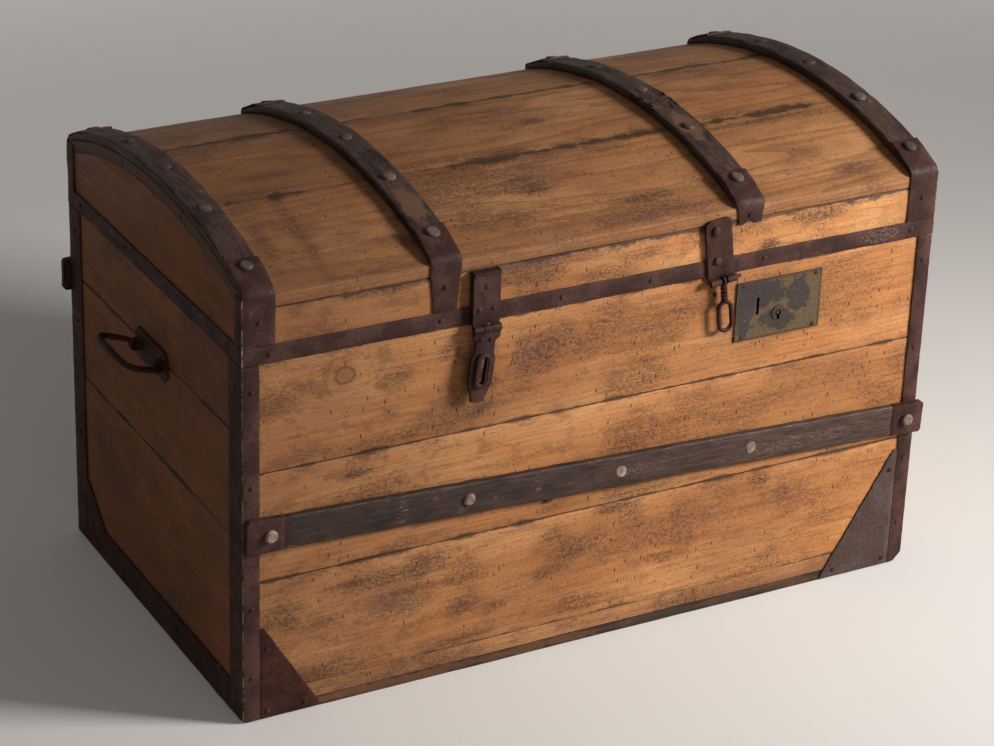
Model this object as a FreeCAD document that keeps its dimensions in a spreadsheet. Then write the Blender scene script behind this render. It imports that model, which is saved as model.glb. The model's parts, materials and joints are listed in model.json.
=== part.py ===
import FreeCAD, Part
import math
import os
import Sketcher
from FreeCAD import Placement, Rotation, Vector

# Dome top trunk: a plank case on two runners, a hinged lid with a coopered dome,
# iron straps and angles, two hasps, a box lock and a bail handle on each end.
# Millimetres. The origin is on the floor under the middle of the case,
# +X runs to the right along the front, -Y is the front and +Z is up.

os.makedirs("parts", exist_ok=True)
doc = FreeCAD.newDocument("DomeTopTrunk")
sheet = doc.addObject("Spreadsheet::Sheet", "Sizes")


class Size:
    """A length that knows its number and the sheet formula it came from."""

    def __init__(self, number, text):
        self.number = float(number)
        self.text = text

    def joined(self, sign, other, number):
        return Size(number, f"({self.text} {sign} {as_size(other).text})")

    def __add__(self, other):
        return self.joined("+", other, self.number + as_size(other).number)

    def __sub__(self, other):
        return self.joined("-", other, self.number - as_size(other).number)

    def __mul__(self, other):
        return self.joined("*", other, self.number * as_size(other).number)

    def __truediv__(self, other):
        return self.joined("/", other, self.number / as_size(other).number)

    def __neg__(self):
        return Size(-self.number, f"(0 - {self.text})")


def as_size(value):
    """A plain number as a Size, so that both can stand in one formula."""
    return value if isinstance(value, Size) else Size(value, repr(float(value)))


def size(alias, number, meaning):
    """One driving dimension: a row of the sheet with its meaning, number and alias."""
    size.row += 1
    sheet.set(f"A{size.row}", meaning)
    sheet.set(f"B{size.row}", str(number))
    sheet.setAlias(f"B{size.row}", alias)
    return Size(number, f"Sizes.{alias}")


size.row = 0

# Case
trunk_length = size("trunk_length", 900, "case length along the front")
trunk_depth = size("trunk_depth", 505, "case depth, front to back")
base_height = size("base_height", 447, "floor to the top edge of the case")
wall = size("wall", 18, "thickness of the case and lid boards")
runner_height = size("runner_height", 13, "height of the two runners")
runner_width = size("runner_width", 42, "width of a runner")
floor_thickness = size("floor_thickness", 20, "thickness of the floor boards")
front_seam_low = size("front_seam_low", 178, "height of the lower seam, front and back")
front_seam_drop = size("front_seam_drop", 133, "upper seam, front and back, below the case's top")
end_seam_low = size("end_seam_low", 229, "height of the lower seam in the ends")
end_seam_drop = size("end_seam_drop", 89, "upper seam in the ends, below the case's top")
plank_gap = size("plank_gap", 0.6, "open seam between two planks")

# Lid
lid_gap = size("lid_gap", 0.6, "gap between case and closed lid")
lid_wall = size("lid_wall", 79, "height of the lid's wall, to where the dome springs")
dome_rise = size("dome_rise", 47, "rise of the dome above its spring line")
dome_thickness = size("dome_thickness", 14, "thickness of the dome planks")
dome_seam_front = size("dome_seam_front", 93, "front dome seam, forward of the middle")
dome_seam_rear = size("dome_seam_rear", 79, "rear dome seam, behind the middle")
board_seat = size("board_seat", 0.2, "play between the dome and the boards under it")

# Iron sheet
iron = size("iron", 2, "thickness of the iron sheet")
lid_band_height = size("lid_band_height", 21, "height of the band round the lid's foot")
angle_front_leg = size("angle_front_leg", 19, "corner iron, leg on the front or back")
angle_end_leg = size("angle_end_leg", 34, "corner iron, leg on the end")
angle_round = size("angle_round", 3, "outer rounding of a corner iron")
angle_foot = size("angle_foot", 2, "height of a corner iron's foot above the floor")
iron_fit = size("iron_fit", 0.3, "gap between neighbouring irons")
left_gusset_width = size("left_gusset_width", 74, "left gusset, along the floor")
left_gusset_height = size("left_gusset_height", 117, "left gusset, up the corner")
right_gusset_width = size("right_gusset_width", 100, "right gusset, along the floor")
right_gusset_height = size("right_gusset_height", 160, "right gusset, up the corner")
gusset_tip = size("gusset_tip", 5, "blunt end of a gusset's points")
end_iron_height = size("end_iron_height", 40, "height of the iron along an end's foot")
end_iron_rise = size("end_iron_rise", 46, "extra height of that iron at the back")
end_iron_run = size("end_iron_run", 60, "length over which that iron rises")

# Slats round the case
slat_width = size("slat_width", 40, "width of the slats on front and back")
slat_thickness = size("slat_thickness", 10, "thickness of those slats")
slat_chamfer = size("slat_chamfer", 2, "worn chamfer along a slat")
slat_overhang = size("slat_overhang", 8, "slat end past the case end")
front_slat_setback = size("front_slat_setback", 3, "front slat's left end inside the case end")
front_slat_left = size("front_slat_left", 242, "front slat's middle height, left end")
front_slat_right = size("front_slat_right", 206, "front slat's middle height, right end")
rear_slat_drop = size("rear_slat_drop", 95, "rear slat's middle below the case's top")
cap_length = size("cap_length", 50, "length of the iron cap on a slat's end")
cap_return = size("cap_return", 7, "depth of the cap's turned-in edges")

# Slats over the dome
dome_slat_width = size("dome_slat_width", 38, "width of the slats over the dome")
dome_slat_thickness = size("dome_slat_thickness", 10, "thickness of those slats")
dome_slat_left = size("dome_slat_left", 207, "left inner slat, left of the middle")
dome_slat_right = size("dome_slat_right", 188, "right inner slat, right of the middle")
clamp_reach = size("clamp_reach", 46, "length of an iron clamp over the slat")
clamp_short_leg = size("clamp_short_leg", 20, "leg of a short clamp below the spring line")
clamp_side_leg = size("clamp_side_leg", 18, "leg of an end clamp round the lid's corner")

# Nails
nail_head = size("nail_head", 16, "diameter of a big nail's head")
nail_crown = size("nail_crown", 4, "height of a big nail's head")
nail_flat = size("nail_flat", 8, "flat on top of a big nail's head")
nail_shank = size("nail_shank", 3.6, "width of a big nail's square shank")
nail_length = size("nail_length", 20, "length of a big nail under its head")
nail_play = size("nail_play", 0.15, "play of a nail in its hole, each side")
tack_head = size("tack_head", 7, "diameter of a small nail's head")
tack_crown = size("tack_crown", 1.8, "height of a small nail's head")
tack_margin = size("tack_margin", 9, "small nails in from the edge of a plate")
dome_nail_setback = size("dome_nail_setback", 32.5, "outer dome nails in from front and back")

# Hinges at the back
hinge_spread = size("hinge_spread", 300, "hinges, left and right of the middle")
hinge_width = size("hinge_width", 60, "width of a hinge")
hinge_leaf = size("hinge_leaf", 2.5, "thickness of a hinge leaf")
hinge_leaf_height = size("hinge_leaf_height", 52, "height of a hinge leaf")
hinge_knuckle = size("hinge_knuckle", 5.5, "outer radius of a hinge knuckle")
hinge_pin = size("hinge_pin", 2.5, "radius of a hinge pin")
pin_play = size("pin_play", 0.08, "running play of a pin, on the radius")
knuckle_gap = size("knuckle_gap", 0.5, "gap between knuckles and to other irons")

# Left hasp, slotted
hasp_middle = size("hasp_middle", 159, "left hasp, left of the middle")
hasp_width = size("hasp_width", 34, "width of the hasp's leaf")
hasp_leaf_rise = size("hasp_leaf_rise", 64, "top edge of the hasp's leaf above the case")
hasp_sheet = size("hasp_sheet", 2.5, "thickness of the hasp's folded leaf")
hasp_stand = size("hasp_stand", 9.5, "front of the leaf from the lid wall")
hasp_plate = size("hasp_plate", 4, "thickness of the swinging hasp")
hasp_length = size("hasp_length", 89, "length of the swinging hasp below its pin")
hasp_waist = size("hasp_waist", 24, "width of the hasp's waist")
hasp_belly = size("hasp_belly", 30, "width of the hasp round its slot")
hasp_toe = size("hasp_toe", 17, "width of the hasp's toe")
hasp_slot_width = size("hasp_slot_width", 7, "width of the hasp's slot")
hasp_slot_length = size("hasp_slot_length", 32, "length of the hasp's slot")
hasp_slot_drop = size("hasp_slot_drop", 50, "middle of the slot below the pin")
hasp_collar = size("hasp_collar", 5, "width of the raised rim round the slot")
hasp_collar_rise = size("hasp_collar_rise", 3, "height of that rim")
hasp_knuckle = size("hasp_knuckle", 4.5, "outer radius of a hasp knuckle")
hasp_pin = size("hasp_pin", 2, "radius of a hasp pin")
hasp_pin_drop = size("hasp_pin_drop", 4, "hasp pins below the case's top edge")

# Right hasp plate with its twisted link
link_middle = size("link_middle", 152, "link's pin, right of the middle")
link_lean = size("link_lean", 7, "lean of plate and link, degrees")
link_plate_width = size("link_plate_width", 35, "width of the plate")
link_plate_height = size("link_plate_height", 77, "height of the plate above its pin")
link_plate = size("link_plate", 3, "thickness of the plate")
link_plate_round = size("link_plate_round", 8, "rounding of the plate's top corners")
link_rod = size("link_rod", 2.6, "radius of the link's rod")
link_eye_rod = size("link_eye_rod", 2, "radius of the rod round the link's eye")
link_shank = size("link_shank", 24, "length of the twisted shank")
link_ring_width = size("link_ring_width", 22, "outer width of the oval ring")
link_ring_height = size("link_ring_height", 42, "outer height of the oval ring")
link_pin_tail = size("link_pin_tail", 6, "end of the pin that sticks out")

# Lock
lock_middle = size("lock_middle", 236, "lock plate, right of the middle")
lock_drop = size("lock_drop", 53.5, "lock plate's middle below the case's top")
lock_plate_width = size("lock_plate_width", 118, "width of the lock plate")
lock_plate_height = size("lock_plate_height", 75, "height of the lock plate")
lock_case_width = size("lock_case_width", 94, "width of the lock case")
lock_case_height = size("lock_case_height", 56, "height of the lock case")
lock_back = size("lock_back", 4, "wood left behind the lock case")
lock_sheet = size("lock_sheet", 1.5, "sheet of the lock case")
lock_fit = size("lock_fit", 0.4, "play of the lock case in its mortise")
lock_slot_offset = size("lock_slot_offset", 29, "hasp slot, left of the plate's middle")
lock_slot_width = size("lock_slot_width", 3.8, "width of the hasp slot")
lock_slot_length = size("lock_slot_length", 22, "length of the hasp slot")
lock_slot_rise = size("lock_slot_rise", 4, "hasp slot above the plate's middle")
keyhole_drop = size("keyhole_drop", 9, "keyhole below the plate's middle")
keyhole_round = size("keyhole_round", 3.8, "radius of the keyhole")
keyhole_slit = size("keyhole_slit", 3.4, "width of the keyhole's slit")
keyhole_length = size("keyhole_length", 9, "keyhole's slit below its round")
keyhole_boss = size("keyhole_boss", 9, "outer radius of the boss round the keyhole")
keyhole_boss_rise = size("keyhole_boss_rise", 1.2, "height of that boss")
key_pin_radius = size("key_pin_radius", 2, "radius of the pin that the key turns on")
bolt_length = size("bolt_length", 52, "length of the lock bolt")
bolt_height = size("bolt_height", 10, "height of the lock bolt")
bolt_thickness = size("bolt_thickness", 6, "thickness of the lock bolt")
bolt_play = size("bolt_play", 0.3, "play round the lock bolt")
bolt_setback = size("bolt_setback", 7, "open bolt's end right of the slot's middle")
bolt_guide = size("bolt_guide", 2, "thickness of the bolt's guides")
spring_sheet = size("spring_sheet", 0.8, "thickness of the lock spring")
spring_width = size("spring_width", 4, "width of the lock spring")
spring_rise = size("spring_rise", 9, "rise of the spring from bolt to wall")

# Bail handles on the ends
handle_drop = size("handle_drop", 92, "handles' pivots below the case's top")
handle_plate_length = size("handle_plate_length", 96, "length of a handle's plate")
handle_plate_height = size("handle_plate_height", 38, "height of a handle's plate")
handle_plate = size("handle_plate", 3, "thickness of a handle's plate")
ear_spread = size("ear_spread", 33, "ears, each side of the middle")
ear_width = size("ear_width", 8, "width of an ear")
ear_radius = size("ear_radius", 7, "outer radius of an ear")
pivot_out = size("pivot_out", 9, "bail's pivot from the end wall")
bail_rod = size("bail_rod", 3.7, "radius of the bail's rod")
bail_pin = size("bail_pin", 3, "radius of the bail's turned-in pins")
bail_leg = size("bail_leg", 45, "bail's legs at the pivots, from the middle")
bail_corner = size("bail_corner", 50, "bail's corners, from the middle")
bail_reach = size("bail_reach", 36, "bail's corners, out from the pivot")
bail_bow = size("bail_bow", 9, "bow of the grip beyond the corners")
bail_bend = size("bail_bend", 11, "bending radius at the bail's corners")
bail_lift = size("bail_lift", 18, "lift of the bail above level, degrees")

doc.recompute()

# Places that follow from the driving dimensions
half_length = trunk_length / 2
half_depth = trunk_depth / 2
front = -half_depth
floor_top = runner_height + floor_thickness
front_seam_high = base_height - front_seam_drop
end_seam_high = base_height - end_seam_drop
rear_slat_height = base_height - rear_slat_drop
handle_height = base_height - handle_drop
seam = plank_gap / 2
lid_foot = base_height + lid_gap
band_top = lid_foot + lid_band_height
dome_spring = base_height + lid_wall
dome_radius = (half_depth * half_depth + dome_rise * dome_rise) / (dome_rise * 2)
dome_centre = dome_spring + dome_rise - dome_radius
dome_inside = dome_radius - dome_thickness
dome_slat_top = dome_radius + dome_slat_thickness
case_span = (-half_length, half_length)
end_slat_middle = half_length - dome_slat_width / 2
dome_slat_middles = {
    "left_end": -end_slat_middle,
    "left": -dome_slat_left,
    "right": dome_slat_right,
    "right_end": end_slat_middle,
}
dome_nail_outer = half_depth - dome_nail_setback
dome_nail_inner = dome_nail_outer / 2
pin_height = base_height - hasp_pin_drop
hasp_top = base_height + hasp_leaf_rise
lock_height = base_height - lock_drop
lock_case_depth = wall - lock_back

pieces = []


def bind(item, prop, value):
    """Ties one property of an object to the sheet."""
    item.setExpression(prop, as_size(value).text)


def keep(item, label):
    """Names a finished sub-part and lists it for writing."""
    item.Label = label
    pieces.append(item)
    return item


def board(name, x, y, z):
    """A board between two limits on each axis."""
    item = doc.addObject("Part::Box", name)
    for prop, limits in zip(("Length", "Width", "Height"), (x, y, z)):
        bind(item, prop, limits[1] - limits[0])
    for axis, limits in zip("xyz", (x, y, z)):
        bind(item, f"Placement.Base.{axis}", limits[0])
    return item


TURN_TO_AXIS = {
    "x": Rotation(Vector(0, 1, 0), 90),
    "y": Rotation(Vector(1, 0, 0), -90),
    "z": Rotation(),
}


def rod(name, axis, start, length, radius):
    """A round bar from a start point along one axis."""
    item = doc.addObject("Part::Cylinder", name)
    item.Placement = Placement(Vector(), TURN_TO_AXIS[axis])
    bind(item, "Radius", radius)
    bind(item, "Height", length)
    for letter, place in zip("xyz", start):
        bind(item, f"Placement.Base.{letter}", place)
    return item


def cut(name, base, tool):
    item = doc.addObject("Part::Cut", name)
    item.Base = base
    item.Tool = tool
    return item


def fuse(name, shapes):
    item = doc.addObject("Part::MultiFuse", name)
    item.Shapes = shapes
    return item


def group(name, items):
    """Like pieces that share one node."""
    item = doc.addObject("Part::Compound", name)
    item.Links = items
    return item


def shape_piece(name, shape, placement=None):
    """A form that neither a body nor a primitive gives."""
    item = doc.addObject("Part::Feature", name)
    item.Shape = shape
    if placement:
        item.Placement = placement
    return item


def polygon(sides, radius, level):
    """The corners of an even polygon about Z."""
    angles = [2 * math.pi * (side + 0.5) / sides for side in range(sides)]
    return [Vector(radius * math.cos(angle), radius * math.sin(angle), level) for angle in angles]


def flat_solid(loops):
    """A solid closed by flat faces, each given by its corners in turn."""
    faces = [Part.Face(Part.makePolygon(loop + loop[:1])) for loop in loops]
    return Part.makeSolid(Part.makeShell(faces))


def skinned(rings, closed=False):
    """A solid whose flat faces join one ring of corners to the next."""
    loops = [] if closed else [rings[0], rings[-1]]
    for before, after in zip(rings, rings[1:]):
        for corner in range(len(before)):
            following = (corner + 1) % len(before)
            loops.append([before[corner], before[following], after[following], after[corner]])
    return flat_solid(loops)


def outline(body, name, plane, offset, corners, arcs=None, centre=None):
    """A closed sketch on a plane of the body, each corner tied to the sheet.

    arcs gives the radius of an edge, counted from its first corner, that is an arc
    about centre; such an edge sets its corners' height, which are then None.
    """
    arcs = arcs or {}
    sketch = body.newObject("Sketcher::SketchObject", name)
    support = [item for item in body.Origin.OriginFeatures if item.Role == plane][0]
    sketch.AttachmentSupport = (support, [""])
    sketch.MapMode = "FlatFace"
    bind(sketch, "AttachmentOffset.Base.z", offset)
    heights = corner_heights(corners, arcs, centre)
    points = [Vector(as_size(u).number, v, 0) for (u, _), v in zip(corners, heights)]
    rising = []
    for index, point in enumerate(points):
        following = points[(index + 1) % len(points)]
        if index not in arcs:
            sketch.addGeometry(Part.LineSegment(point, following), False)
            rising.append(True)
            continue
        middle = Vector(as_size(centre[0]).number, as_size(centre[1]).number, 0)
        circle = Part.Circle(middle, Vector(0, 0, 1), as_size(arcs[index]).number)
        forward = following.x < point.x
        first, last = (point, following) if forward else (following, point)
        limits = [math.atan2(end.y - middle.y, end.x - middle.x) for end in (first, last)]
        sketch.addGeometry(Part.ArcOfCircle(circle, limits[0], limits[1]), False)
        rising.append(forward)
    tie_corners(sketch, corners, rising)
    for index, radius in arcs.items():
        tie(sketch, "DistanceX", (-1, 1, index, 3), centre[0])
        tie(sketch, "DistanceY", (-1, 1, index, 3), centre[1])
        tie(sketch, "Radius", (index,), radius)
    return sketch


def corner_heights(corners, arcs, centre):
    """The height of each corner, worked out on its arc where the arc sets it."""
    heights = []
    for index, (u, v) in enumerate(corners):
        if v is not None:
            heights.append(as_size(v).number)
            continue
        radius = arcs.get(index, arcs.get((index - 1) % len(corners)))
        across = as_size(u).number - as_size(centre[0]).number
        rise = math.sqrt(as_size(radius).number ** 2 - across ** 2)
        heights.append(as_size(centre[1]).number + rise)
    return heights


def tie_corners(sketch, corners, rising):
    """Closes the outline and ties each corner's place."""
    count = len(corners)
    for index in range(count):
        following = (index + 1) % count
        end = 2 if rising[index] else 1
        start = 1 if rising[following] else 2
        sketch.addConstraint(Sketcher.Constraint("Coincident", index, end, following, start))
    for index, (u, v) in enumerate(corners):
        start = 1 if rising[index] else 2
        tie(sketch, "DistanceX", (-1, 1, index, start), u)
        if v is not None:
            tie(sketch, "DistanceY", (-1, 1, index, start), v)


def tie(sketch, kind, places, value):
    """One dimension of a sketch, tied to the sheet."""
    value = as_size(value)
    number = sketch.addConstraint(Sketcher.Constraint(kind, *places, value.number))
    sketch.setExpression(f"Constraints[{number}]", value.text)


def new_body(name):
    return doc.addObject("PartDesign::Body", name)


def pad(body, name, plane, offset, depth, corners, arcs=None, centre=None):
    """A padded outline, added to the body."""
    sketch = outline(body, name + "_outline", plane, offset, corners, arcs, centre)
    feature = body.newObject("PartDesign::Pad", name)
    feature.Profile = sketch
    bind(feature, "Length", depth)
    doc.recompute()
    return feature


def pocket(body, name, plane, offset, depth, corners):
    """A pocketed outline, cut back along the plane's own normal."""
    before = body.Shape.Volume
    sketch = outline(body, name + "_outline", plane, offset, corners)
    feature = body.newObject("PartDesign::Pocket", name)
    feature.Profile = sketch
    bind(feature, "Length", depth)
    doc.recompute()
    if body.Shape.Volume >= before:
        raise RuntimeError(f"{name} cuts nothing")
    return feature


def round_edges(body, feature, name, radius, chosen):
    """Rounds the edges whose middle the test picks."""
    doc.recompute()
    edges = enumerate(feature.Shape.Edges, start=1)
    names = [f"Edge{number}" for number, edge in edges if chosen(edge)]
    rounding = body.newObject("PartDesign::Fillet", name)
    rounding.Base = (feature, names)
    bind(rounding, "Radius", radius)
    doc.recompute()
    return rounding


def upright(edge):
    """True for an edge that runs along Z."""
    return abs(edge.tangentAt(edge.FirstParameter).z) > 0.99


def along_y(edge):
    """True for a straight edge that runs along Y."""
    straight = isinstance(edge.Curve, Part.Line)
    return straight and abs(edge.tangentAt(edge.FirstParameter).y) > 0.99


def mirrored(u_limits):
    """Limits turned over to the other side of the middle."""
    return (-u_limits[1], -u_limits[0])


# Runners and floor
front_strip = (front, front + runner_width)
runner_boards = []
for side, limits in (("front", front_strip), ("rear", mirrored(front_strip))):
    runner_boards.append(board(f"{side}_runner", case_span, limits, (as_size(0), runner_height)))
keep(group("runner_group", runner_boards), "runners")

floor_third = trunk_depth / 3
floor_boards = []
for number in range(3):
    near = front + floor_third * number
    limits = (near + seam, near + floor_third - seam)
    limits = (near if number == 0 else limits[0], half_depth if number == 2 else limits[1])
    floor_boards.append(board(f"floor_board_{number}", case_span, limits, (runner_height, floor_top)))
keep(group("floor_group", floor_boards), "floor_boards")

# Walls: front and back planks cover the ends of the end planks
front_rows = {
    "lower": (floor_top, front_seam_low - seam),
    "middle": (front_seam_low + seam, front_seam_high - seam),
    "upper": (front_seam_high + seam, base_height),
}
end_rows = {
    "lower": (floor_top, end_seam_low - seam),
    "middle": (end_seam_low + seam, end_seam_high - seam),
    "upper": (end_seam_high + seam, base_height),
}
front_wall = (front, front + wall)
end_wall = (-half_length, -half_length + wall)
between_walls = (front + wall, half_depth - wall)
front_planks = {}
back_planks = []
for row, limits in front_rows.items():
    front_planks[row] = board(f"front_{row}", case_span, front_wall, limits)
    back_planks.append(board(f"back_{row}", case_span, mirrored(front_wall), limits))
for row, limits in end_rows.items():
    keep(board(f"left_{row}", end_wall, between_walls, limits), f"left_plank_{row}")
    keep(board(f"right_{row}", mirrored(end_wall), between_walls, limits), f"right_plank_{row}")

# Corner irons: folded sheet with a rounded arris
angle_span = base_height - angle_foot - iron_fit


def corner_iron(name, side, face):
    """One corner iron; side and face are -1 or 1 along X and Y."""
    body = new_body(name)
    out_x = (half_length + iron) * side
    out_y = (half_depth + iron) * face
    corners = [
        (out_x, out_y),
        ((half_length - angle_front_leg) * side, out_y),
        ((half_length - angle_front_leg) * side, half_depth * face),
        (half_length * side, half_depth * face),
        (half_length * side, (half_depth - angle_end_leg) * face),
        (out_x, (half_depth - angle_end_leg) * face),
    ]
    feature = pad(body, name + "_fold", "XY_Plane", angle_foot, angle_span, corners)

    def outer_arris(edge):
        middle = edge.CenterOfMass
        return upright(edge) and abs(middle.x - out_x.number) + abs(middle.y - out_y.number) < 0.01

    round_edges(body, feature, name + "_arris", angle_round, outer_arris)
    return body


front_irons = {
    "left": corner_iron("front_left_iron", -1, -1),
    "right": corner_iron("front_right_iron", 1, -1),
}
rear_irons = [corner_iron("rear_left_iron", -1, 1), corner_iron("rear_right_iron", 1, 1)]

# Gussets on the front, set against the corner irons
gusset_edge = half_length - angle_front_leg - iron_fit


def gusset(name, side, width, height):
    """A triangle of sheet iron with blunt points."""
    body = new_body(name)
    top = angle_foot + height
    corners = [
        (gusset_edge * side, angle_foot),
        (gusset_edge * side, top),
        ((gusset_edge - gusset_tip) * side, top),
        ((gusset_edge - width) * side, angle_foot + gusset_tip),
        ((gusset_edge - width) * side, angle_foot),
    ]
    pad(body, name + "_sheet", "XZ_Plane", half_depth, iron, corners)
    return keep(body, name)


gusset("left_gusset", -1, left_gusset_width, left_gusset_height)
gusset("right_gusset", 1, right_gusset_width, right_gusset_height)

# Irons along the foot of each end, wider towards the back
end_iron_edge = half_depth - angle_end_leg - iron_fit


def end_iron(name, offset):
    body = new_body(name)
    top = angle_foot + end_iron_height
    corners = [
        (-end_iron_edge, angle_foot),
        (end_iron_edge, angle_foot),
        (end_iron_edge, top + end_iron_rise),
        (end_iron_edge - gusset_tip, top + end_iron_rise),
        (end_iron_edge - end_iron_run, top),
        (-end_iron_edge, top),
    ]
    pad(body, name + "_sheet", "YZ_Plane", offset, iron, corners)
    return body


end_irons = [end_iron("left_end_iron", -half_length - iron), end_iron("right_end_iron", half_length)]
keep(group("end_foot_irons_group", end_irons), "end_foot_irons")

# Slats along the front and back, let over the corner irons and capped with iron
slat_reach = half_length + slat_overhang
slat_half = slat_width / 2


def slat_board(name, left_reach):
    """A slat along X about the origin, its back on the XZ plane, with worn chamfers."""
    body = new_body(name)
    corners = [
        (as_size(0), -slat_half),
        (-slat_thickness + slat_chamfer, -slat_half),
        (-slat_thickness, -slat_half + slat_chamfer),
        (-slat_thickness, slat_half - slat_chamfer),
        (-slat_thickness + slat_chamfer, slat_half),
        (as_size(0), slat_half),
    ]
    pad(body, name + "_section", "YZ_Plane", -left_reach, left_reach + slat_reach, corners)
    for side in (-1, 1):
        rebate = [
            ((slat_reach + iron) * side, -slat_width),
            ((slat_reach + iron) * side, slat_width),
            ((half_length - angle_front_leg - iron_fit * 2) * side, slat_width),
            ((half_length - angle_front_leg - iron_fit * 2) * side, -slat_width),
        ]
        pocket(body, f"{name}_rebate_{side + 1}", "XZ_Plane", iron + iron_fit, slat_thickness, rebate)
    return body


def slat_cap(name, side, reach):
    """A folded iron cap over one end of a slat."""
    body = new_body(name)
    face = -slat_thickness - iron_fit
    inner = slat_half + iron_fit
    outer = inner + iron
    lip = -slat_thickness + cap_return
    channel = [
        (lip, -outer),
        (face - iron, -outer),
        (face - iron, outer),
        (lip, outer),
        (lip, inner),
        (face, inner),
        (face, -inner),
        (lip, -inner),
    ]
    tip = reach + iron_fit
    start = tip - cap_length if side > 0 else -tip
    pad(body, name + "_channel", "YZ_Plane", start, cap_length, channel)
    plate = [(lip, -outer), (face - iron, -outer), (face - iron, outer), (lip, outer)]
    pad(body, name + "_end", "YZ_Plane", tip if side > 0 else -tip - iron, iron, plate)
    return body


front_slat_middle = (front_slat_left + front_slat_right) / 2
front_slat_drop = math.atan2(front_slat_left.number - front_slat_right.number, trunk_length.number)
SLAT_PLACES = {
    "front": (Vector(0, front.number, front_slat_middle.number), 0, front_slat_drop),
    "rear": (Vector(0, half_depth.number, rear_slat_height.number), 180, 0),
}
SLAT_LEFT_REACH = {"front": half_length - front_slat_setback, "rear": slat_reach}


def slat_placement(face):
    """Where a slat's own frame sits on the case."""
    base, turn, drop = SLAT_PLACES[face]
    turned = Rotation(Vector(0, 0, 1), turn) * Rotation(Vector(0, 1, 0), math.degrees(drop))
    return Placement(base, turned)


slats = {}
caps = []
for face in SLAT_PLACES:
    slats[face] = slat_board(f"{face}_slat_board", SLAT_LEFT_REACH[face])
    slats[face].Placement = slat_placement(face)
    for side, reach in ((-1, SLAT_LEFT_REACH[face]), (1, slat_reach)):
        cap = slat_cap(f"{face}_cap_{side + 1}", side, reach)
        cap.Placement = slat_placement(face)
        caps.append(cap)

# Lid walls: rails along front and back, arched boards in the ends
under_dome = dome_inside - board_seat


def rail(name, y):
    """A lid rail whose top follows the inside of the dome."""
    body = new_body(name)
    corners = [(y[0], lid_foot), (y[1], lid_foot), (y[1], None), (y[0], None)]
    pad(body, name + "_section", "YZ_Plane", -half_length, trunk_length, corners,
        {2: under_dome}, (as_size(0), dome_centre))
    return keep(body, name)


def arched_end(name, offset):
    body = new_body(name)
    near, far = between_walls
    corners = [(near, lid_foot), (far, lid_foot), (far, None), (near, None)]
    pad(body, name + "_section", "YZ_Plane", offset, wall, corners,
        {2: under_dome}, (as_size(0), dome_centre))
    return keep(body, name)


rail("lid_front_rail", front_wall)
rail("lid_rear_rail", mirrored(front_wall))
arched_end("lid_left_end", -half_length)
arched_end("lid_right_end", half_length - wall)

# Band round the lid's foot
band_outside = board("band_outside", (-half_length - iron, half_length + iron),
                     (front - iron, half_depth + iron), (lid_foot, band_top))
band_inside = board("band_inside", case_span, (front, half_depth), (lid_foot - iron, band_top + iron))
keep(cut("lid_band_cut", band_outside, band_inside), "lid_band")


def dome_strip(name, y, inside, outside, offset, length):
    """A strip bent over the dome between two places across it, with radial edges."""
    body = new_body(name)
    ratio = inside / outside
    near = (y[0] * ratio, y[0])
    far = (y[1] * ratio, y[1])
    if abs(y[0].number) == half_depth.number:
        near = (y[0], y[0])
    if abs(y[1].number) == half_depth.number:
        far = (y[1], y[1])
    corners = [(near[0], None), (far[0], None), (far[1], None), (near[1], None)]
    pad(body, name + "_section", "YZ_Plane", offset, length, corners,
        {0: inside, 2: outside}, (as_size(0), dome_centre))
    return body


dome_rows = {
    "front": (front, -dome_seam_front - seam),
    "middle": (-dome_seam_front + seam, dome_seam_rear - seam),
    "rear": (dome_seam_rear + seam, half_depth),
}
dome_planks = {}
for row, limits in dome_rows.items():
    dome_planks[row] = dome_strip(f"dome_{row}", limits, dome_inside, dome_radius,
                                  -half_length, trunk_length)

dome_slats = {}
for place, middle in dome_slat_middles.items():
    dome_slats[place] = dome_strip(f"slat_{place}", (front, half_depth), dome_radius, dome_slat_top,
                                   middle - dome_slat_width / 2, dome_slat_width)


# Clamps: iron bent over a slat's end and down the lid wall
def clamp_outline(face, foot):
    """The clamp's section; face is -1 at the front and 1 at the back."""
    wall_face = half_depth * face
    skin = (half_depth + iron) * face
    over = half_depth - clamp_reach
    corners = [
        (wall_face, foot),
        (skin, foot),
        (skin, None),
        (over * face, None),
        (over * face, None),
        (wall_face, None),
    ]
    return corners, {2: dome_slat_top + iron, 4: dome_slat_top}


def clamp(name, face, middle, foot):
    """A clamp over one end of a dome slat."""
    body = new_body(name)
    corners, arcs = clamp_outline(face, foot)
    pad(body, name + "_bend", "YZ_Plane", middle - dome_slat_width / 2, dome_slat_width,
        corners, arcs, (as_size(0), dome_centre))
    return body


long_foot = band_top + iron_fit
short_foot = dome_spring - clamp_short_leg


def corner_clamp(name, face, side):
    """A clamp on an end slat, with a leg folded round the lid's corner."""
    body = clamp(name, face, end_slat_middle * side, long_foot)
    inner = half_depth - clamp_side_leg
    leg = [
        ((half_depth + iron) * face, long_foot),
        ((half_depth + iron) * face, dome_spring),
        (inner * face, dome_spring),
        (inner * face, long_foot),
    ]
    start = half_length if side > 0 else -half_length - iron
    pad(body, name + "_side", "YZ_Plane", start, iron, leg)
    return body


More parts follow.
